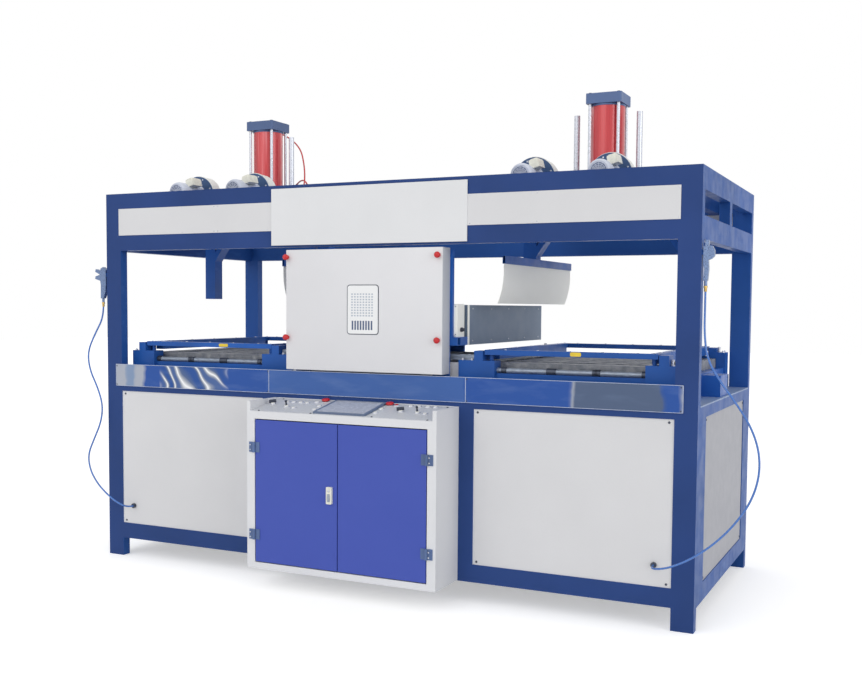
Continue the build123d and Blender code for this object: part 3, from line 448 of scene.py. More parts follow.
def brushed_metal(name, colour, roughness, stretch, spread, metallic, depth=0.1):
    finish = Finish(name, roughness, metallic)
    stroke = finish.noise(40.0, 4.0, stretch)
    finish.colour(finish.mottled(stroke, colour, spread, 0.25, 0.75))
    finish.gloss(finish.spread(stroke, roughness - 0.08, roughness + 0.1))
    finish.bump(stroke, strength=depth, distance=0.0003)


def smooth_plastic(name, colour, roughness, coat=0.1, spread=0.04):
    finish = Finish(name, roughness, coat=coat, coat_roughness=0.08)
    finish.colour(finish.mottled(finish.noise(60.0), colour, spread))
    finish.gloss(finish.spread(finish.noise(90.0), roughness - 0.04, roughness + 0.08))
    finish.bump(finish.noise(1400.0, detail=2.0), strength=0.06, distance=0.0002)


def worn_aluminium():
    """Milled slats, dulled and speckled by sheet scraps and release dust."""
    finish = Finish("worn_aluminium", 0.5, metallic=0.35)
    patches = finish.noise(26.0, detail=6.0)
    tone = finish.ramp(
        patches,
        (
            (0.25, (92, 98, 108)),
            (0.45, (122, 126, 134)),
            (0.6, (146, 148, 154)),
            (0.8, (176, 178, 182)),
        ),
    )
    scratch = finish.spread(finish.noise(30.0, 4.0, stretch=(1, 14, 1)), 0.0, 0.5, 0.6, 0.75)
    finish.colour(finish.blend(scratch, tone, (196, 198, 202)))
    finish.gloss(finish.spread(patches, 0.35, 0.65))
    finish.bump(patches, strength=0.35, distance=0.001)


# The strip's tones, and where each of its lengths starts, left to right
# Steel, slate and blue tones of the strip, set by length along X.
BARE_STEEL = (168, 173, 185)
BRUSHED_SLATE = (128, 148, 179)
DEEP_BLUE = (38, 80, 156)
PALE_BLUE = (60, 96, 162)
DULL_SLATE = (80, 96, 125)
STRIP_LENGTHS = (
    (-1.590, BARE_STEEL),
    (-1.490, BRUSHED_SLATE),
    (-1.428, BARE_STEEL),
    (-1.362, DEEP_BLUE),
    (-0.549, PALE_BLUE),
    (0.549, DEEP_BLUE),
    (1.067, BARE_STEEL),
    (1.078, DULL_SLATE),
    (1.472, DEEP_BLUE),
    (1.552, BARE_STEEL),
)
STRIP_BLEND = 0.006
STRIP_HALF = 1.6
# Where the room's reflection fades in and out
REFLECTION_START = (-1.262, -1.225)
REFLECTION_END = (-0.87, -0.80)


def polished_strip():
    """Polished steel in lengths of steel, slate and blue tones along X, with a painted, wavering reflection of the
    room at the left.
    """
    finish = Finish(
        "mirror_steel", 0.16, metallic=0.12, coat=0.12, coat_roughness=0.05, shine=0.2
    )
    along = finish.along("X")
    waver = finish.spread(finish.noise(6.0, 2.0, stretch=(1, 1, 2)), -0.01, 0.01)
    wavering = finish.maths("ADD", waver, along)
    share = finish.spread(wavering, 0.0, 1.0, -STRIP_HALF, STRIP_HALF)
    stops = []
    for number, (start, tone) in enumerate(STRIP_LENGTHS):
        if number:
            stops.append((start - STRIP_BLEND, STRIP_LENGTHS[number - 1][1]))
        stops.append((start + STRIP_BLEND, tone))
    tone = finish.ramp(share, [((x + STRIP_HALF) / (2 * STRIP_HALF), tone) for x, tone in stops])
    wave = finish.node("ShaderNodeTexWave", wave_type="BANDS", bands_direction="X")
    shape = {"Scale": 1.5, "Distortion": 11.0, "Detail": 1.0, "Detail Scale": 2.2}
    for key, value in shape.items():
        wave.inputs[key].default_value = value
    finish.join(finish.stretched((1.0, 1, 1.5)), wave.inputs["Vector"])
    # The wave bands painted in here are a reflection of the room.
    mirrored = finish.ramp(
        wave.outputs["Fac"],
        (
            (0.05, (40, 80, 150)),
            (0.28, (84, 104, 142)),
            (0.45, (176, 180, 188)),
            (0.60, (246, 247, 248)),
            (0.8, (148, 156, 172)),
            (0.95, (74, 100, 152)),
        ),
    )
    fade_in = finish.spread(along, 0.0, 1.0, *REFLECTION_START)
    fade_out = finish.spread(along, 1.0, 0.0, *REFLECTION_END)
    tone = finish.blend(finish.product(fade_in, fade_out), tone, mirrored)
    haze = finish.spread(finish.noise(5.0, 4.0, stretch=(1, 1, 4)), 0.0, 0.14, 0.5, 0.8)
    finish.colour(finish.blend(haze, tone, (150, 172, 208)))
    finish.gloss(finish.spread(finish.noise(8.0), 0.1, 0.24))
    finish.bump(finish.noise(5.0, detail=2.0), strength=0.05, distance=0.002)


def console_plate():
    """Brushed aluminium plate with a fine speckle."""
    finish = Finish("console_plate", 0.42, shine=0.3)
    stroke = finish.noise(60.0, 4.0, stretch=(1, 18, 18))
    tone = finish.ramp(stroke, ((0.3, (196, 199, 203)), (0.7, (214, 216, 220))))
    speckle = finish.spread(finish.noise(260.0), 0.0, 0.45, 0.56, 0.7)
    finish.colour(finish.blend(speckle, tone, (140, 148, 160)))
    finish.gloss(finish.spread(stroke, 0.34, 0.5))
    finish.bump(stroke, strength=0.1, distance=0.0003)


def diagram_sheet(low, high, rows, columns, bar_count):
    """Printed sheet with a plain grid and a row of bars, and no words."""
    finish = Finish("diagram_sheet", 0.35, coat=0.2)
    across = finish.spread(finish.along("X"), 0.0, 1.0, low[0], high[0])
    up = finish.spread(finish.along("Z"), 0.0, 1.0, low[1], high[1])

    def within(value, start, end):
        above = finish.maths("GREATER_THAN", value, start)
        return finish.product(above, finish.maths("LESS_THAN", value, end))

    def cells(value, count, share, start, end):
        """1 in the first share of each of count cells between start and end."""
        place = finish.spread(value, 0.0, float(count), start, end, clamp=False)
        filled = finish.maths("LESS_THAN", finish.maths("FRACT", place), share)
        return finish.product(filled, within(value, start, end))

    row, column = cells(up, rows, 0.55, 0.36, 0.86), cells(across, columns, 0.6, 0.12, 0.88)
    grid = finish.product(row, column)
    bars = finish.product(cells(across, bar_count, 0.6, 0.14, 0.86), within(up, 0.08, 0.27))
    tone = finish.blend(grid, (236, 237, 238), (176, 184, 196))
    finish.colour(finish.blend(bars, tone, (74, 88, 122)))
    finish.gloss(finish.spread(finish.noise(30.0), 0.3, 0.42))


def barrel_enamel():
    """Red cylinder tube, its gloss drawn out down the length, and its colour in darker and paler bands down the length
    that are painted shade and highlight.
    """
    finish = Finish("barrel_red", 0.28, metallic=0.1, coat=0.5)
    stroke = finish.noise(26.0, stretch=(1, 1, 0.04))
    # The darkest red is painted shade and the palest a painted highlight, in bands down the tube.
    reds_shade_and_highlight = ((176, 36, 46), (200, 50, 58), (210, 58, 64), (226, 120, 124))
    finish.colour(finish.ramp(stroke, list(zip((0.3, 0.45, 0.58, 0.68), reds_shade_and_highlight))))
    finish.gloss(finish.spread(stroke, 0.2, 0.36))
    finish.bump(finish.noise(500.0, detail=2.0), strength=0.06, distance=0.0003)


# frame_blue's front tone is painted shade on its outer front faces; the streaks of frame_blue and inner_blue are
# painted highlights on the faces that don't look to the front.
sprayed_enamel(
    "frame_blue", (38, 82, 152), roughness=0.42, spread=0.05, front=(40, 66, 122), streaks=0.35
)
sprayed_enamel("inner_blue", (34, 88, 168), roughness=0.36, spread=0.1, streaks=0.4, shine=0.25)
sprayed_enamel("deck_grey", (134, 154, 186), roughness=0.4, spread=0.06)
sprayed_enamel("cap_slate", (92, 112, 152), roughness=0.38, spread=0.07)
sprayed_enamel("disc_slate", (68, 92, 130), roughness=0.4, spread=0.05)
sprayed_enamel("motor_grey", (206, 211, 224), roughness=0.4, spread=0.04)
# The slate of the discs behind the fan grilles is painted shade of the cowls' hollows.
sprayed_enamel("grille_slate", (84, 100, 134), roughness=0.5, spread=0.12)
barrel_enamel()
# The side tones of panel_grey, cover_white and cabinet_white are painted shade on the faces that look to +X.
powder_coat("panel_grey", (215, 215, 217), side=(166, 167, 174))
powder_coat("cover_white", (222, 222, 225), roughness=0.45, side=(190, 193, 199))
powder_coat("board_white", (223, 224, 226), grain=700.0, depth=0.08)
powder_coat("cabinet_white", (222, 223, 226), roughness=0.48, side=(212, 213, 216))
powder_coat("oven_grey", (112, 128, 149), roughness=0.45, grain=500.0, depth=0.2)
powder_coat("deflector_white", (248, 248, 242), roughness=0.4, grain=600.0, depth=0.1)
powder_coat("drum_white", (230, 230, 226), roughness=0.42, grain=500.0, depth=0.12)
powder_coat("door_violet", (68, 86, 174), roughness=0.45, grain=800.0, depth=0.1)
for metal, colour, roughness, stretch, spread, metallic in (
    ("shaft_steel", (142, 152, 166), 0.4, (1, 9, 9), 0.22, 0.35),
    ("rail_steel", (150, 158, 172), 0.35, (1, 12, 12), 0.1, 0.4),
    ("gun_metal", (104, 122, 156), 0.3, (5, 5, 5), 0.3, 0.5),
    ("dark_steel", (70, 76, 90), 0.4, (4, 4, 4), 0.1, 0.6),
    ("brass", (196, 164, 96), 0.25, (6, 6, 6), 0.08, 0.9),
):
    brushed_metal(metal, colour, roughness, stretch, spread, metallic)
brushed_metal(
    "bright_steel", (206, 209, 218), 0.28, stretch=(1, 1, 1), spread=0.03, metallic=0.45, depth=0.02
)
worn_aluminium()
polished_strip()
console_plate()
smooth_plastic("knob_red", (192, 14, 24), roughness=0.3, coat=0.12)
smooth_plastic("screen_bezel", (98, 113, 140), roughness=0.4, coat=0.0)
smooth_plastic("screen_glass", (190, 193, 199), roughness=0.2, coat=0.15, spread=0.05)
smooth_plastic("lock_cream", (226, 225, 212), roughness=0.4)
smooth_plastic("hose_blue", (60, 110, 186), roughness=0.25, coat=0.3)
smooth_plastic("hose_red", (206, 52, 58), roughness=0.22, coat=0.4)
smooth_plastic("black_plastic", (44, 50, 66), roughness=0.35)
# The pale tone of the strip's folded edges and seams is a painted highlight.
smooth_plastic("film_edge", (182, 192, 214), roughness=0.35)
smooth_plastic("tab_yellow", (232, 200, 48), roughness=0.4)

# CAD nodes whose finish isn't simply the one of their slot
NODE_FINISH = {
    "console_cabinet": "cabinet_white",
    "console_top": "console_plate",
    "carriage_rails": "rail_steel",
    "cross_shafts": "shaft_steel",
    "blow_gun_left": "gun_metal",
    "blow_gun_right": "gun_metal",
    "touch_screen": "screen_bezel",
    "blower_housings": "drum_white",
    "blower_discs": "disc_slate",
    "hose_grommets": "dark_steel",
}
for subpart in frame["record"]["subparts"]:
    name = subpart["node"]
    made = finishes[NODE_FINISH.get(name, subpart["material_slot"])]
    nodes[name].data.materials.clear()
    nodes[name].data.materials.append(made)

# ---- Tools ---------------------------------------------------


def take(*pieces):
    """Select these pieces only, the first of them active."""
    bpy.ops.object.select_all(action="DESELECT")
    for piece in pieces:
        piece.select_set(True)
    bpy.context.view_layer.objects.active = pieces[0]


def block(name, low, high):
    bpy.ops.object.select_all(action="DESELECT")
    bpy.ops.mesh.primitive_cube_add(size=1, location=[(a + b) / 2 for a, b in zip(low, high)])
    piece = bpy.context.object
    piece.name = name
    piece.scale = [b - a for a, b in zip(low, high)]
    bpy.ops.object.transform_apply()
    return piece


def choose(piece, kind, test):
    """Edit the piece with only those of its faces or edges selected that pass the test."""
    take(piece)
    bpy.ops.object.mode_set(mode="EDIT")
    bpy.ops.mesh.select_mode(type=kind)
    bpy.ops.mesh.select_all(action="DESELECT")
    mesh = bmesh.from_edit_mesh(piece.data)
    for element in mesh.faces if kind == "FACE" else mesh.edges:
        if test(element):
            element.select_set(True)
    bmesh.update_edit_mesh(piece.data)


def stepped(piece, way, steps):
    """Inset and raise the piece's faces that look along way, step by step."""
    way = Vector(way).normalized()
    choose(piece, "FACE", lambda face: face.normal.dot(way) > 0.99)
    for inset, rise in steps:
        if inset:
            bpy.ops.mesh.inset(thickness=inset, depth=0)
        if rise:
            bpy.ops.mesh.extrude_region_move(TRANSFORM_OT_translate={"value": way * rise})
    bpy.ops.object.mode_set(mode="OBJECT")
    return piece


def lies_along_y(edge):
    run = edge.verts[0].co - edge.verts[1].co
    return abs(run.y) > 0.9 * run.length


def rounded_sheet(name, xs, zs, back, thickness, corner):
    """Sheet with rounded corners in the XZ plane, its front a thickness before its back."""
    sheet = block(name, (xs[0], back - thickness, zs[0]), (xs[1], back, zs[1]))
    choose(sheet, "EDGE", lies_along_y)
    bpy.ops.mesh.bevel(offset=corner, segments=6)
    bpy.ops.object.mode_set(mode="OBJECT")
    return sheet


SHARP = math.radians(35)  # the least angle between faces that counts as an edge


def smoothed(piece):
    """Shade the piece's curves smooth and keep its edges."""
    take(piece)
    bpy.ops.object.shade_smooth_by_angle(angle=SHARP)
    return piece


def soften(piece, width=0.001, segments=2):
    """Round the piece's edges and smooth its curves."""
    bevel = piece.modifiers.new("edges", "BEVEL")
    bevel.width = width
    bevel.segments = segments
    bevel.limit_method = "ANGLE"
    bevel.angle_limit = SHARP
    take(piece)
    bpy.ops.object.modifier_apply(modifier=bevel.name)
    return smoothed(piece)


def turned(name, profile, sides=24):
    """A turned piece on the Z axis through the origin, from (radius, height) steps."""
    bpy.ops.object.select_all(action="DESELECT")
    radius, height = profile[0]
    bpy.ops.mesh.primitive_circle_add(
        vertices=sides, radius=radius, fill_type="NGON", location=(0, 0, height)
    )
    piece = bpy.context.object
    piece.name = name
    bpy.ops.object.transform_apply()
    bpy.ops.object.mode_set(mode="EDIT")
    bpy.ops.mesh.select_mode(type="FACE")
    bpy.ops.mesh.select_all(action="SELECT")
    for next_radius, next_height in profile[1:]:
        bpy.ops.mesh.extrude_region_move(
            TRANSFORM_OT_translate={"value": (0, 0, next_height - height)}
        )
        bpy.ops.transform.resize(
            value=(next_radius / radius, next_radius / radius, 1),
            center_override=(0, 0, next_height),
        )
        radius, height = next_radius, next_height
    bpy.ops.mesh.select_all(action="SELECT")
    bpy.ops.mesh.normals_make_consistent(inside=False)
    bpy.ops.object.mode_set(mode="OBJECT")
    return piece


def facing(way):
    """The turn that brings the Z axis onto way."""
    return Vector((0, 0, 1)).rotation_difference(Vector(way)).to_matrix().to_4x4()


def moved(piece, place, turn=None):
    piece.data.transform(Matrix.Translation(place) @ (turn or Matrix.Identity(4)))
    return piece


def joined(name, *pieces):
    take(*pieces)
    if len(pieces) > 1:
        bpy.ops.object.join()
    piece = bpy.context.view_layer.objects.active
    piece.name = name
    return piece


def repeated(name, model, places, turn=None):
    """Copies of the model joined in one piece, at places or at (place, turn) pairs."""
    pieces = []
    for place in places:
        own_turn = turn
        if len(place) == 2:
            place, own_turn = place
        copy = model.copy()
        copy.data = model.data.copy()
        bpy.context.collection.objects.link(copy)
        pieces.append(moved(copy, place, own_turn))
    bpy.data.objects.remove(model)
    return joined(name, *pieces)


def fitted(piece, finish, slot, body="machine_frame", replaces=()):
    """Give the piece its finish, and say what it rides on, replaces and is made of."""
    piece.data.materials.clear()
    piece.data.materials.append(finishes[finish])
    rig.ride(piece, body)
    if replaces:
        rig.replaces(piece, *replaces)
    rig.slot(piece, slot)
    return piece


TO_FRONT = facing((0, -1, 0))
TO_BACK = facing((0, 1, 0))
TO_RIGHT = facing((1, 0, 0))
TO_LEFT = facing((-1, 0, 0))

# ---- Hoses and their fittings --------------------------------

gun_pieces = {}
GUN_FITTINGS = {
    "left": (-1.669, FRONT + 0.018, 1.399),
    "right": (1.641, FRONT + 0.018, 1.482),
}
for side, inlet in GUN_FITTINGS.items():
    ferrule = turned(
        "gun_ferrule_" + side,
        [
            (0.0052, -0.012),
            (0.0066, -0.010),
            (0.0066, 0.004),
            (0.0085, 0.0045),
            (0.0085, 0.0125),
            (0.0062, 0.0135),
        ],
        12,
    )
    soften(moved(ferrule, (inlet[0], inlet[1], inlet[2] - 0.004)), 0.0006, 1)
    gun_pieces[side] = [fitted(ferrule, "brass", "bright_steel")]

for name, facts in HOSES.items():
    hose, points = hose_spline(name)
    hose.data.materials.append(finishes[facts["slot"]])
    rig.ride(hose, "machine_frame")
    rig.replaces(hose, name)
    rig.slot(hose, facts["slot"])
    if name.startswith("hose"):
        side = name[len("hose_") :]
        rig.cord(
            hose,
            exit=points[-1],
            length=facts["length"],
            diameter=HOSE_DIAMETER,
            far_end="tool",
            stiffness="medium",
            lay="hanging",
            with_pieces=[nodes["blow_gun_" + side], *gun_pieces[side]],
        )
    else:
        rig.cord(
            hose,
            exit=points[0],
            length=facts["length"],
            diameter=HOSE_DIAMETER,
            far_end="object",
            stiffness="medium",
            lay="hanging",
        )

# Push-in fittings at the left cylinder's ports
fitting = turned(
    "port_fitting",
    [(0.010, 0.0), (0.010, 0.008), (0.0085, 0.009), (0.0085, 0.016), (0.0065, 0.018)],
    12,
)
port_places = [(-1.055, MIDDLE + 0.090, z) for z in (2.427, 2.050)]
fitted(repeated("hose_fittings", fitting, port_places, TO_BACK), "dark_steel", "bright_steel")

# ---- Screws, nuts and bolts ----------------------------------


def screw_model(radius):
    """Round-headed screw with a socket."""
    return turned(
        "screw",
        [
            (radius, -0.0004),
            (radius, radius * 0.25),
            (radius * 0.78, radius * 0.5),
            (radius * 0.42, radius * 0.52),
            (radius * 0.36, radius * 0.2),
        ],
        10,
    )


def hexagon_model(radius, height):
    """Hexagon nut with the end of its stud."""
    return turned(
        "nut",
        [
            (radius, 0),
            (radius, height),
            (radius * 0.86, height * 1.08),
            (radius * 0.55, height * 1.08),
            (radius * 0.52, height * 1.7),
            (radius * 0.42, height * 1.8),
        ],
        6,
    )


PANEL_SCREW_Z = (0.200, 0.905)
panel_screws = []
for x in (-1.503, -0.610, 0.610, 1.503):
    for z in PANEL_SCREW_Z:
        panel_screws.append(((x, FRONT + 0.004, z), TO_FRONT))
        panel_screws.append(((x, BACK - 0.004, z), TO_BACK))
side_low, side_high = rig.box("base_side_panels")
for y in (FRONT + 0.198, FRONT + 1.152):
    for z in PANEL_SCREW_Z:
        panel_screws.append(((side_high[0], y, z), TO_RIGHT))
        panel_screws.append(((side_low[0], y, z), TO_LEFT))
fitted(repeated("panel_screws", screw_model(0.0055), panel_screws), "dark_steel", "bright_steel")

panel_low, panel_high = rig.box("top_strip_panels")
strip_screws = []
for x in (-1.526, -1.100, -0.892, -0.868, -0.560, 0.563, 0.868, 0.892, 1.204, 1.526):
    for z in (1.781, 1.909):
        strip_screws.append(((x, panel_low[1], z), TO_FRONT))
        strip_screws.append(((x, panel_high[1], z), TO_BACK))
fitted(repeated("strip_screws", screw_model(0.0028), strip_screws), "bright_steel", "bright_steel")

film_low, film_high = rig.box("front_strip")
film_front = film_low[1]
film_places = [(x, film_front, z) for x in (-1.556, -0.556, 0.556, 1.553) for z in (0.956, 1.058)]
film_screws = repeated("film_screws", screw_model(0.0034), film_places, TO_FRONT)
fitted(film_screws, "dark_steel", "bright_steel")

# Folded edges of the strip, and its two seams, pale with a painted highlight
EDGE_WIDTH = 0.0022
EDGE_PROUD = 0.0006
whole_x, whole_z = (film_low[0], film_high[0]), (film_low[2], film_high[2])
edge_limits = [
    (whole_x, (film_high[2] - EDGE_WIDTH, film_high[2])),
    (whole_x, (film_low[2], film_low[2] + EDGE_WIDTH)),
    ((film_low[0], film_low[0] + EDGE_WIDTH), whole_z),
    ((film_high[0] - EDGE_WIDTH, film_high[0]), whole_z),
    ((-0.552, -0.549), whole_z),
    ((0.548, 0.551), whole_z),
]
edges = []
for number, (xs, zs) in enumerate(edge_limits):
    low, high = (xs[0], film_front - EDGE_PROUD, zs[0]), (xs[1], film_front, zs[1])
    edge = block("edge_%d" % number, low, high)
    edges.append(stepped(edge, (0, -1, 0), [(0.0006, 0.0004)]))
fitted(joined("strip_edges", *edges), "film_edge", "mirror_steel")

CAP_SCREW_REACH = 0.072
MOUNT_TOP = 2.025
cap_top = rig.box("cylinder_caps")[1][2]
cap_screws, mount_bolts = [], []
for station in (-1, 1):
    for x in (-CAP_SCREW_REACH, CAP_SCREW_REACH):
        for y in (-CAP_SCREW_REACH, CAP_SCREW_REACH):
            cap_screws.append((station * STATION_X + x, MIDDLE + y, cap_top))
    for x in (-0.185, -0.120, 0.120, 0.185):
        for y in (-0.128, 0.128):
            mount_bolts.append((station * STATION_X + x, MIDDLE + y, MOUNT_TOP))
fitted(repeated("cap_screws", screw_model(0.009), cap_screws), "dark_steel", "bright_steel")
mount_nut = hexagon_model(0.010, 0.007)
fitted(repeated("mount_bolts", mount_nut, mount_bolts), "dark_steel", "bright_steel")

# ---- Top of the machine --------------------------------------

BLOWER_X = (-1.295, -0.915, 0.735, 1.115)
BLOWER_Z = 2.020
DISC_FRONT = -0.1725
motor_places = [(x, DISC_FRONT, BLOWER_Z) for x in BLOWER_X]


def turns(step):
    """A whole round of turns about the Z axis, a step in degrees apart."""
    return [
        ((0, 0, 0), Matrix.Rotation(math.radians(turn), 4, "Z")) for turn in range(0, 360, step)
    ]


def ring_of(count, radius, start):
    """Places on a circle, from the start angle on."""
    angles = [start + k * math.tau / count for k in range(count)]
    return [(radius * math.cos(angle), radius * math.sin(angle)) for angle in angles]


def blower_motor():
    """Finned motor with a flange and a fan cowl, its shaft along Z."""
    body = turned(
        "motor_body",
        [
            (0.053, 0.0),
            (0.056, 0.002),
            (0.056, 0.009),
            (0.049, 0.012),
            (0.0465, 0.016),
            (0.0465, 0.116),
            (0.0500, 0.118),
        ],
        40,
    )
    fin = block("fin", (-0.0012, 0.044, 0.020), (0.0012, 0.0535, 0.112))
    stepped(fin, (0, 1, 0), [(0.0005, 0.0006)])
    fins = repeated("fins", fin, turns(15))
    cowl = turned(
        "cowl",
        [
            (0.0535, 0.116),
            (0.0560, 0.118),
            (0.0560, 0.168),
            (0.0548, 0.176),
            (0.0515, 0.183),
            (0.0470, 0.188),
            (0.0435, 0.1895),
            (0.0425, 0.1865),
            (0.0405, 0.1865),
        ],
        40,
    )
    bolt_places = [(x, y, 0.009) for x, y in ring_of(4, 0.0515, math.pi / 4)]
    bolts = repeated("flange_bolts", hexagon_model(0.004, 0.003), bolt_places)
    return joined("motor_model", body, fins, cowl, bolts)


def grille_rings():
    """Raised rings of the fan grille with spokes over them, let into the cowl's end."""
    steps = [(0.0405, 0.1860), (0.0400, 0.1900)]
    radius, height = 0.0372, 0.1905
    while radius > 0.012:
        steps += [(radius, height), (radius - 0.0006, 0.1850), (radius - 0.0046, 0.1850)]
        steps += [(radius - 0.0052, height + 0.0006), (radius - 0.0074, height + 0.0008)]
        radius -= 0.0078
        height += 0.0008
    steps += [(0.0050, height), (0.0030, height + 0.0005)]
    rings = turned("grille_rings", steps, 32)
    spoke = block("spoke", (-0.0010, 0.0060, 0.1890), (0.0010, 0.0400, 0.1912))
    stepped(spoke, (0, 0, 1), [(0.0003, 0.0004)])
    return joined("grille_model", rings, repeated("spokes", spoke, turns(30)))


def grille_back():
    """Dark disc behind the grille's rings, a painted shade of the cowl's hollow."""
    profile = [(0.0398, 0.1820), (0.0395, 0.1888), (0.0200, 0.1894), (0.0060, 0.1896)]
    return turned("grille_back", profile, 32)


def terminal_box():
    """Cast box with a domed lid and a gland, beside the motor."""
    box = block("box", (0.036, -0.3085, 0.022), (0.084, -0.2285, 0.058))
    stepped(box, (0, 0, 1), [(0.0015, 0.0015), (0, 0.004), (0.006, 0.004)])
    soften(box, 0.006, 3)
    gland = turned("gland", [(0.009, 0), (0.009, 0.006), (0.007, 0.007), (0.007, 0.011)], 12)
    moved(gland, (0.060, -0.2285, 0.040), TO_BACK)
    return joined("terminal_model", box, gland)


for piece_name, model, finish, replaced in (
    ("motor_pieces", blower_motor(), "motor_grey", ["blower_motors"]),
    ("motor_grilles", grille_rings(), "motor_grey", ()),
    ("grille_backs", grille_back(), "grille_slate", ()),
):
    piece = smoothed(repeated(piece_name, model, motor_places, TO_FRONT))
    fitted(piece, finish, "motor_grey", replaces=replaced)
tilt = Matrix.Rotation(math.radians(-14), 4, "Y")
box_places = [((x, 0, BLOWER_Z), tilt) for x in BLOWER_X]
fitted(
    smoothed(repeated("terminal_pieces", terminal_box(), box_places)),
    "lock_cream",
    "lock_cream",
    replaces=["motor_terminal_boxes"],
)
disc_bolts = [
    (x + across, DISC_FRONT, BLOWER_Z + up)
    for x in BLOWER_X
    for across, up in ring_of(8, 0.092, math.pi / 8)
]
disc_screw = screw_model(0.0045)
fitted(repeated("disc_bolts", disc_screw, disc_bolts, TO_FRONT), "bright_steel", "bright_steel")
RIM_Y = -0.1655
rim = turned(
    "drum_rim",
    [(0.1052, 0.0), (0.1085, 0.002), (0.1085, 0.009), (0.1052, 0.011), (0.098, 0.011)],
    56,
)
rims = repeated("drum_rims", rim, [(x, RIM_Y, BLOWER_Z) for x in BLOWER_X], TO_BACK)
fitted(smoothed(rims), "drum_white", "board_white")

# Bands round the ends of the cylinder barrels
band = turned("barrel_band", [(0.0850, 0), (0.0862, 0.001), (0.0862, 0.009), (0.0848, 0.010)], 56)
bands = [(station * STATION_X, MIDDLE, z) for station in (-1, 1) for z in (2.0752, 2.3918)]
fitted(smoothed(repeated("barrel_bands", band, bands)), "cap_slate", "cap_slate")

# ---- Heater, its cover and its terminal box ------------------

HEATER_BODY = "heater_carriage_body"
cover_low, cover_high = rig.box("heater_cover")
cover = block("cover_sheet", cover_low, cover_high)
stepped(cover, (0, 1, 0), [(0.012, 0), (0.0, -0.010)])
soften(cover, 0.004, 3)
fitted(cover, "cover_white", "panel_grey", HEATER_BODY, ["heater_cover"])

knob = turned(
    "knob",
    [
        (0.0110, 0.000),
        (0.0110, 0.003),
        (0.0075, 0.004),
        (0.0075, 0.007),
        (0.0110, 0.008),
        (0.0143, 0.012),
        (0.0152, 0.017),
        (0.0140, 0.022),
        (0.0105, 0.026),
        (0.0050, 0.028),
    ],
    24,
)
knob_places = [(x, cover_low[1], z) for x in (-0.427, 0.413) for z in (1.237, 1.638)]
fitted(
    smoothed(repeated("knob_balls", knob, knob_places, TO_FRONT)),
    "knob_red",
    "knob_red",
    HEATER_BODY,
    ["cover_knobs"],
)

# The printed plate on the cover, on its dark border
PLATE_X, PLATE_Z = (-0.080, 0.096), (1.257, 1.500)
BORDER = 0.004
border = rounded_sheet("plate_border", PLATE_X, PLATE_Z, cover_low[1], 0.0010, 0.016)
stepped(border, (0, -1, 0), [(0.003, 0.0004)])
fitted(border, "dark_steel", "bright_steel", HEATER_BODY)
inner_x, inner_z = ((low + BORDER, high - BORDER) for low, high in (PLATE_X, PLATE_Z))
diagram_sheet(*zip(inner_x, inner_z), rows=9, columns=8, bar_count=8)
sheet = rounded_sheet("plate_sheet", inner_x, inner_z, cover_low[1] - 0.0012, 0.0010, 0.013)
stepped(sheet, (0, -1, 0), [(0.0015, 0.0002)])
fitted(sheet, "diagram_sheet", "board_white", HEATER_BODY)

oven_low, oven_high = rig.box("heater_box")
flange = block(
    "oven_flange",
    (oven_high[0] - 0.001, oven_low[1] - 0.003, oven_low[2]),
    (oven_high[0] + 0.004, oven_low[1] + 0.012, oven_high[2]),
)
stepped(flange, (1, 0, 0), [(0.002, 0.0015)])
fitted(soften(flange, 0.001), "deflector_white", "deflector_white", HEATER_BODY)
oven_places = []
for y in (0.06, 0.30, 0.54, 0.78, 1.00):
    for z in (0.018, 0.176):
        oven_places.append(((oven_high[0], oven_low[1] + y, oven_low[2] + z), TO_RIGHT))
        oven_places.append(((oven_low[0], oven_low[1] + y, oven_low[2] + z), TO_LEFT))
oven_screws = repeated("oven_screws", screw_model(0.004), oven_places)
fitted(oven_screws, "bright_steel", "bright_steel", HEATER_BODY)

box_low, box_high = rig.box("heater_terminal_box")
LID_PROUD = 0.0025
lid = block(
    "terminal_lid",
    (box_low[0] + 0.003, box_low[1] - LID_PROUD, box_low[2] + 0.004),
    (box_high[0] - 0.003, box_low[1], box_high[2] - 0.004),
)
stepped(lid, (0, -1, 0), [(0.004, 0.0015)])
fitted(soften(lid, 0.0015), "deflector_white", "deflector_white", HEATER_BODY)
lid_places = [
    ((x, box_low[1] - LID_PROUD, z), TO_FRONT)
    for x in (box_low[0] + 0.010, box_high[0] - 0.010)
    for z in (box_low[2] + 0.012, box_high[2] - 0.012)
]
lid_screws = repeated("lid_screws", screw_model(0.0035), lid_places)
fitted(lid_screws, "dark_steel", "bright_steel", HEATER_BODY)
gland = turned(
    "box_gland",
    [
        (0.011, 0),
        (0.011, 0.008),
        (0.0085, 0.009),
        (0.0085, 0.016),
        (0.005, 0.016),
        (0.005, 0.008),
    ],
    16,
)
moved(gland, (box_high[0], box_low[1] + 0.04, box_low[2] + 0.035), TO_RIGHT)
fitted(smoothed(gland), "black_plastic", "screen_dark", HEATER_BODY)

# ---- Stations: corner blocks, shaft collars, clamp frames ----

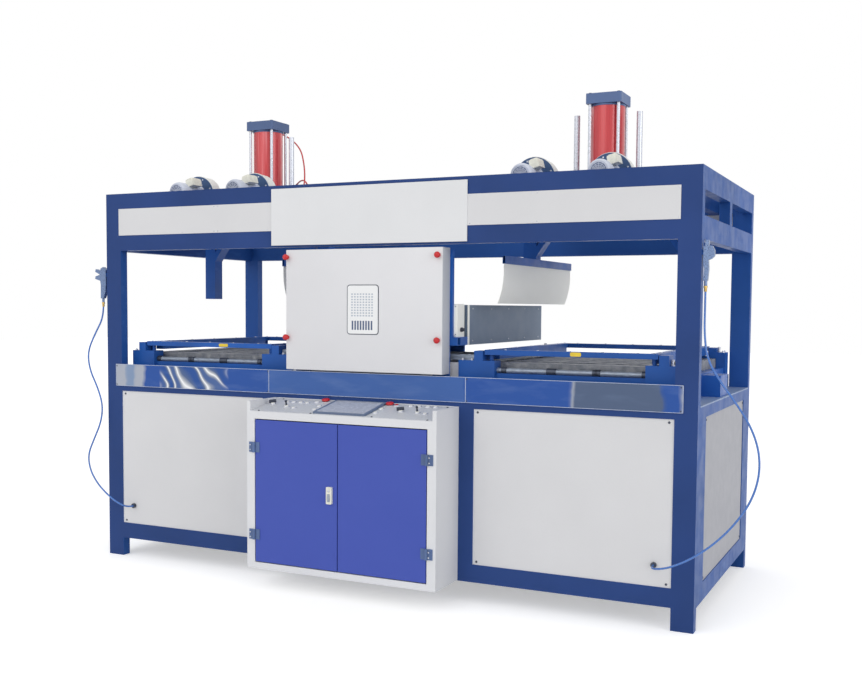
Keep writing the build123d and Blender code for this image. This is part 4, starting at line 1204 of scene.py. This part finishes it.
BLOCK_X = (0.510, 1.485)
BLOCK_ROWS = (FRONT + 0.128, BACK - 0.128)
BLOCK_TOPS = (1.142, 1.164)
BOLT_REACH = (-0.024, 0.024)
block_bolts, stop_screws = [], []
for station in (-1, 1):
    for x in BLOCK_X:
        for y, top in zip(BLOCK_ROWS, BLOCK_TOPS):
            for dx in BOLT_REACH:
                block_bolts += [(station * x + dx, y + dy, top) for dy in BOLT_REACH]
            stop_screws.append((station * x, y, top))
block_nut = hexagon_model(0.007, 0.006)
fitted(repeated("block_bolts", block_nut, block_bolts), "bright_steel", "bright_steel")
stop_screw = turned(
    "stop_screw",
    [
        (0.0100, 0),
        (0.0100, 0.004),
        (0.0055, 0.005),
        (0.0055, 0.020),
        (0.0085, 0.021),
        (0.0085, 0.026),
        (0.0060, 0.028),
    ],
    12,
)
fitted(smoothed(repeated("stop_screws", stop_screw, stop_screws)), "bright_steel", "bright_steel")

SHAFT_Z = 1.097
COLLAR_X = (0.903, 0.925, 1.123, 1.135, 0.680, 1.350)
COLLAR_WIDTH = 0.024
collar = turned(
    "shaft_collar",
    [
        (0.0150, 0),
        (0.0175, 0.001),
        (0.0175, 0.023),
        (0.0165, COLLAR_WIDTH),
        (0.0135, COLLAR_WIDTH),
    ],
    20,
)
collars = [
    (x, y, SHAFT_Z)
    for start in COLLAR_X
    for x in (-start - COLLAR_WIDTH, start)
    for y in BLOCK_ROWS
]
fitted(smoothed(repeated("shaft_collars", collar, collars, TO_RIGHT)), "dark_steel", "bright_steel")

clamp_front = FRONT + 0.096
for name, side, xs, zs in (
    ("tab_right", "right", (1.024, 1.076), (1.173, 1.192)),
    ("tab_left", "left", (-0.938, -0.879), (1.174, 1.190)),
):
    tab = rounded_sheet(name, xs, zs, clamp_front, 0.0012, 0.006)
    stepped(tab, (0, -1, 0), [(0.0015, 0.0003)])
    fitted(tab, "tab_yellow", "lock_cream", "clamp_%s_body" % side)
CLAMP_TOP = 1.194
for side, station in (("left", -1), ("right", 1)):
    places = []
    for x in (0.623, 0.700, 0.860, 1.015, 1.170, 1.330, 1.407):
        for y in (FRONT + 0.119, BACK - 0.119):
            places.append((station * x, y, CLAMP_TOP))
    for x in (0.6255, 1.4045):
        for y in (0.25, 0.46, 0.67, 0.89, 1.10):
            places.append((station * x, FRONT + y, CLAMP_TOP))
    screws = repeated("clamp_screws_" + side, screw_model(0.006), places)
    fitted(screws, "bright_steel", "bright_steel", "clamp_%s_body" % side)

# ---- Console -------------------------------------------------

CONSOLE_FRONT = FRONT - 0.245
SLOPE_LOW, SLOPE_ANGLE = 0.882, math.atan2(0.044, 0.243)
SLOPE_UP = Vector((0, math.cos(SLOPE_ANGLE), math.sin(SLOPE_ANGLE)))
TO_SLOPE = Matrix.Rotation(SLOPE_ANGLE, 4, "X")


def on_slope(places):
    """Places on the sloped plate, from millimetres across and up it."""
    return [
        Vector((x / 1000, CONSOLE_FRONT, SLOPE_LOW)) + SLOPE_UP * (up / 1000) for x, up in places
    ]


BUTTONS = (
    (-392, 176), (-354, 176), (-314, 176), (-276, 176),
    (-232, 196), (-180, 131), (-169, 68), (-294, 79),
    (278, 216), (322, 216), (368, 216), (409, 216),
    (160, 140), (164, 71), (411, 97),
)
RED_BUTTON = (204, 213)
HANDLE_SELECTORS = ((-448, 129), (275, 115))
LEVER_SELECTORS = ((-346, 95), (365, 110))
STOPS = ((-196, 222), (166, 217))


def button_ring():
    return turned(
        "button_ring",
        [(0.0145, -0.0004), (0.0145, 0.002), (0.0125, 0.0045), (0.0105, 0.0045), (0.0102, 0.002)],
        24,
    )


def button_cap(rise):
    return turned(
        "button_cap",
        [(0.0098, 0.001), (0.0098, rise - 0.001), (0.0085, rise), (0.0060, rise + 0.0004)],
        24,
    )


all_buttons = BUTTONS + (RED_BUTTON,) + HANDLE_SELECTORS + LEVER_SELECTORS
fitted(
    smoothed(repeated("button_rings", button_ring(), on_slope(all_buttons), TO_SLOPE)),
    "bright_steel",
    "bright_steel",
    replaces=["push_buttons"],
)
fitted(
    smoothed(repeated("button_caps", button_cap(0.006), on_slope(BUTTONS), TO_SLOPE)),
    "drum_white",
    "bright_steel",
)
red_cap = repeated("red_cap", button_cap(0.007), on_slope([RED_BUTTON]), TO_SLOPE)
fitted(smoothed(red_cap), "knob_red", "knob_red")


def selector_hub():
    return turned("hub", [(0.0105, 0.001), (0.0105, 0.008), (0.0095, 0.009)], 20)


def handle_selector():
    bar = block("handle", (-0.0045, -0.018, 0.007), (0.0045, 0.018, 0.022))
    stepped(bar, (0, 0, 1), [(0.0012, 0.0015)])
    return soften(bar, 0.0012)


def lever_selector():
    return turned(
        "lever",
        [
            (0.0055, 0.007),
            (0.0045, 0.016),
            (0.0040, 0.024),
            (0.0065, 0.026),
            (0.0065, 0.031),
            (0.0045, 0.033),
        ],
        14,
    )


hub_places = on_slope(HANDLE_SELECTORS + LEVER_SELECTORS)
hubs = repeated("selector_hubs", selector_hub(), hub_places, TO_SLOPE)
fitted(smoothed(hubs), "drum_white", "bright_steel")
handle_turn = TO_SLOPE @ Matrix.Rotation(math.radians(-58), 4, "Z")
handle_places = on_slope(HANDLE_SELECTORS)
handles = repeated("handle_selectors", handle_selector(), handle_places, handle_turn)
fitted(smoothed(handles), "black_plastic", "screen_dark")
levers = repeated("lever_selectors", lever_selector(), on_slope(LEVER_SELECTORS), TO_SLOPE)
fitted(smoothed(levers), "black_plastic", "screen_dark")

stop_cap = turned(
    "stop_cap",
    [
        (0.0105, 0.000),
        (0.0105, 0.004),
        (0.0185, 0.005),
        (0.0200, 0.008),
        (0.0196, 0.011),
        (0.0170, 0.014),
        (0.0105, 0.0160),
        (0.0030, 0.0165),
    ],
    32,
)
fitted(
    smoothed(repeated("stop_caps", stop_cap, on_slope(STOPS), TO_SLOPE)),
    "knob_red",
    "knob_red",
    replaces=["emergency_stops"],
)
stop_ring = turned(
    "stop_ring",
    [(0.0235, -0.0004), (0.0235, 0.0015), (0.0225, 0.0022), (0.0110, 0.0022)],
    32,
)
stop_rings = repeated("stop_rings", stop_ring, on_slope(STOPS), TO_SLOPE)
fitted(smoothed(stop_rings), "bright_steel", "bright_steel")
plate_places = on_slope([(x, up) for x in (-448, -152, 180, 467) for up in (5, 226)])
plate_screws = repeated("plate_screws", screw_model(0.0052), plate_places, TO_SLOPE)
fitted(plate_screws, "black_plastic", "screen_dark")

glass = block("screen_glass", (-0.128, 0.0225, 0.0078), (0.128, 0.2235, 0.0086))
stepped(glass, (0, 0, 1), [(0.003, 0.0004)])
moved(glass, (0, CONSOLE_FRONT, SLOPE_LOW), TO_SLOPE)
fitted(glass, "screen_glass", "screen_dark")

# Screws of the door hinges, then the lock's handle and its key barrel
HINGE_X = 0.4865
hinge_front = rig.box("cabinet_hinges")[0][1]
hinge_screws = []
for x in (-HINGE_X, HINGE_X):
    for z in (0.272, 0.703):
        hinge_screws += [((x, hinge_front, z + dz), TO_FRONT) for dz in (-0.012, 0.012)]
fitted(repeated("hinge_screws", screw_model(0.0035), hinge_screws), "bright_steel", "bright_steel")
lock_low, lock_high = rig.box("door_lock")
lock_x, lock_z = (lock_low[0] + lock_high[0]) / 2, (lock_low[2] + lock_high[2]) / 2
lock_size = (lock_high[0] - lock_low[0], lock_high[2] - lock_low[2])
handle = block(
    "lock_handle",
    (lock_x - lock_size[0] * 0.22, lock_low[1] - 0.003, lock_z - lock_size[1] * 0.36),
    (lock_x + lock_size[0] * 0.22, lock_low[1], lock_z + lock_size[1] * 0.10),
)
stepped(handle, (0, -1, 0), [(0.0015, 0.002)])
fitted(soften(handle, 0.001), "rail_steel", "bright_steel", "console_door_left_body")
key_barrel = turned(
    "key_barrel",
    [(0.0060, 0), (0.0060, 0.003), (0.0045, 0.0035), (0.0015, 0.0035), (0.0012, 0.001)],
    16,
)
moved(key_barrel, (lock_x, lock_low[1], lock_z + lock_size[1] * 0.28), TO_FRONT)
fitted(smoothed(key_barrel), "bright_steel", "bright_steel", "console_door_left_body")

# ---- Floor, light and background -----------------------------

# How much brighter the floor and the background look than the light they give
FLOOR_GLOW = 0.42
SKY_GLOW = 0.28
SKY_LIGHT = 0.72


def seen_directly(tree):
    """1 for rays from the camera, and for those that metal and glass send on."""
    path = tree.nodes.new("ShaderNodeLightPath")
    value = path.outputs["Is Camera Ray"]
    for kind in ("Is Glossy Ray", "Is Transmission Ray"):
        either = tree.nodes.new("ShaderNodeMath")
        either.operation = "MAXIMUM"
        tree.links.new(value, either.inputs[0])
        tree.links.new(path.outputs[kind], either.inputs[1])
        value = either.outputs[0]
    return value


def scaled(tree, value, share, base):
    """The base, and a share of the value on top."""
    node = tree.nodes.new("ShaderNodeMath")
    node.operation = "MULTIPLY_ADD"
    tree.links.new(value, node.inputs[0])
    node.inputs[1].default_value = share
    node.inputs[2].default_value = base
    return node.outputs[0]


def make_floor():
    bpy.ops.object.select_all(action="DESELECT")
    bpy.ops.mesh.primitive_plane_add(size=60, location=(0, 0, 0))
    floor = bpy.context.object
    floor.name = "floor"
    material = bpy.data.materials.new("floor_white")
    material.use_nodes = True
    tree = material.node_tree
    shader = tree.nodes["Principled BSDF"]
    shader.inputs["Base Color"].default_value = (0.86, 0.86, 0.86, 1)
    shader.inputs["Roughness"].default_value = 0.9
    shader.inputs["Specular IOR Level"].default_value = 0.1
    shader.inputs["Emission Color"].default_value = (1, 1, 1, 1)
    glow = scaled(tree, seen_directly(tree), FLOOR_GLOW, 0.0)
    tree.links.new(glow, shader.inputs["Emission Strength"])
    floor.data.materials.append(material)
    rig.stage(floor)


def make_light():
    world = bpy.data.worlds.new("studio")
    bpy.context.scene.world = world
    world.use_nodes = True
    tree = world.node_tree
    background = tree.nodes["Background"]
    background.inputs["Color"].default_value = (1, 1, 1, 1)
    glow = scaled(tree, seen_directly(tree), SKY_GLOW, SKY_LIGHT)
    tree.links.new(glow, background.inputs["Strength"])
    for name, place, strength, angle in (
        ("key_light", (-1.2, -4.0, 2.4), 0.68, 50),
        ("side_light", (4.0, -1.6, 0.35), 1.05, 45),
    ):
        data = bpy.data.lights.new(name, "SUN")
        data.energy = strength
        data.angle = math.radians(angle)
        lamp = bpy.data.objects.new(name, data)
        lamp.rotation_euler = Vector(place).to_track_quat("Z", "Y").to_euler()
        bpy.context.collection.objects.link(lamp)


make_floor()
make_light()
bpy.context.scene.view_settings.view_transform = "Standard"

visual_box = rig.bounds()
with open("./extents.json", "w") as size_file:
    json.dump({"cad": [list(c) for c in cad_box], "visual": [list(c) for c in visual_box]}, size_file)
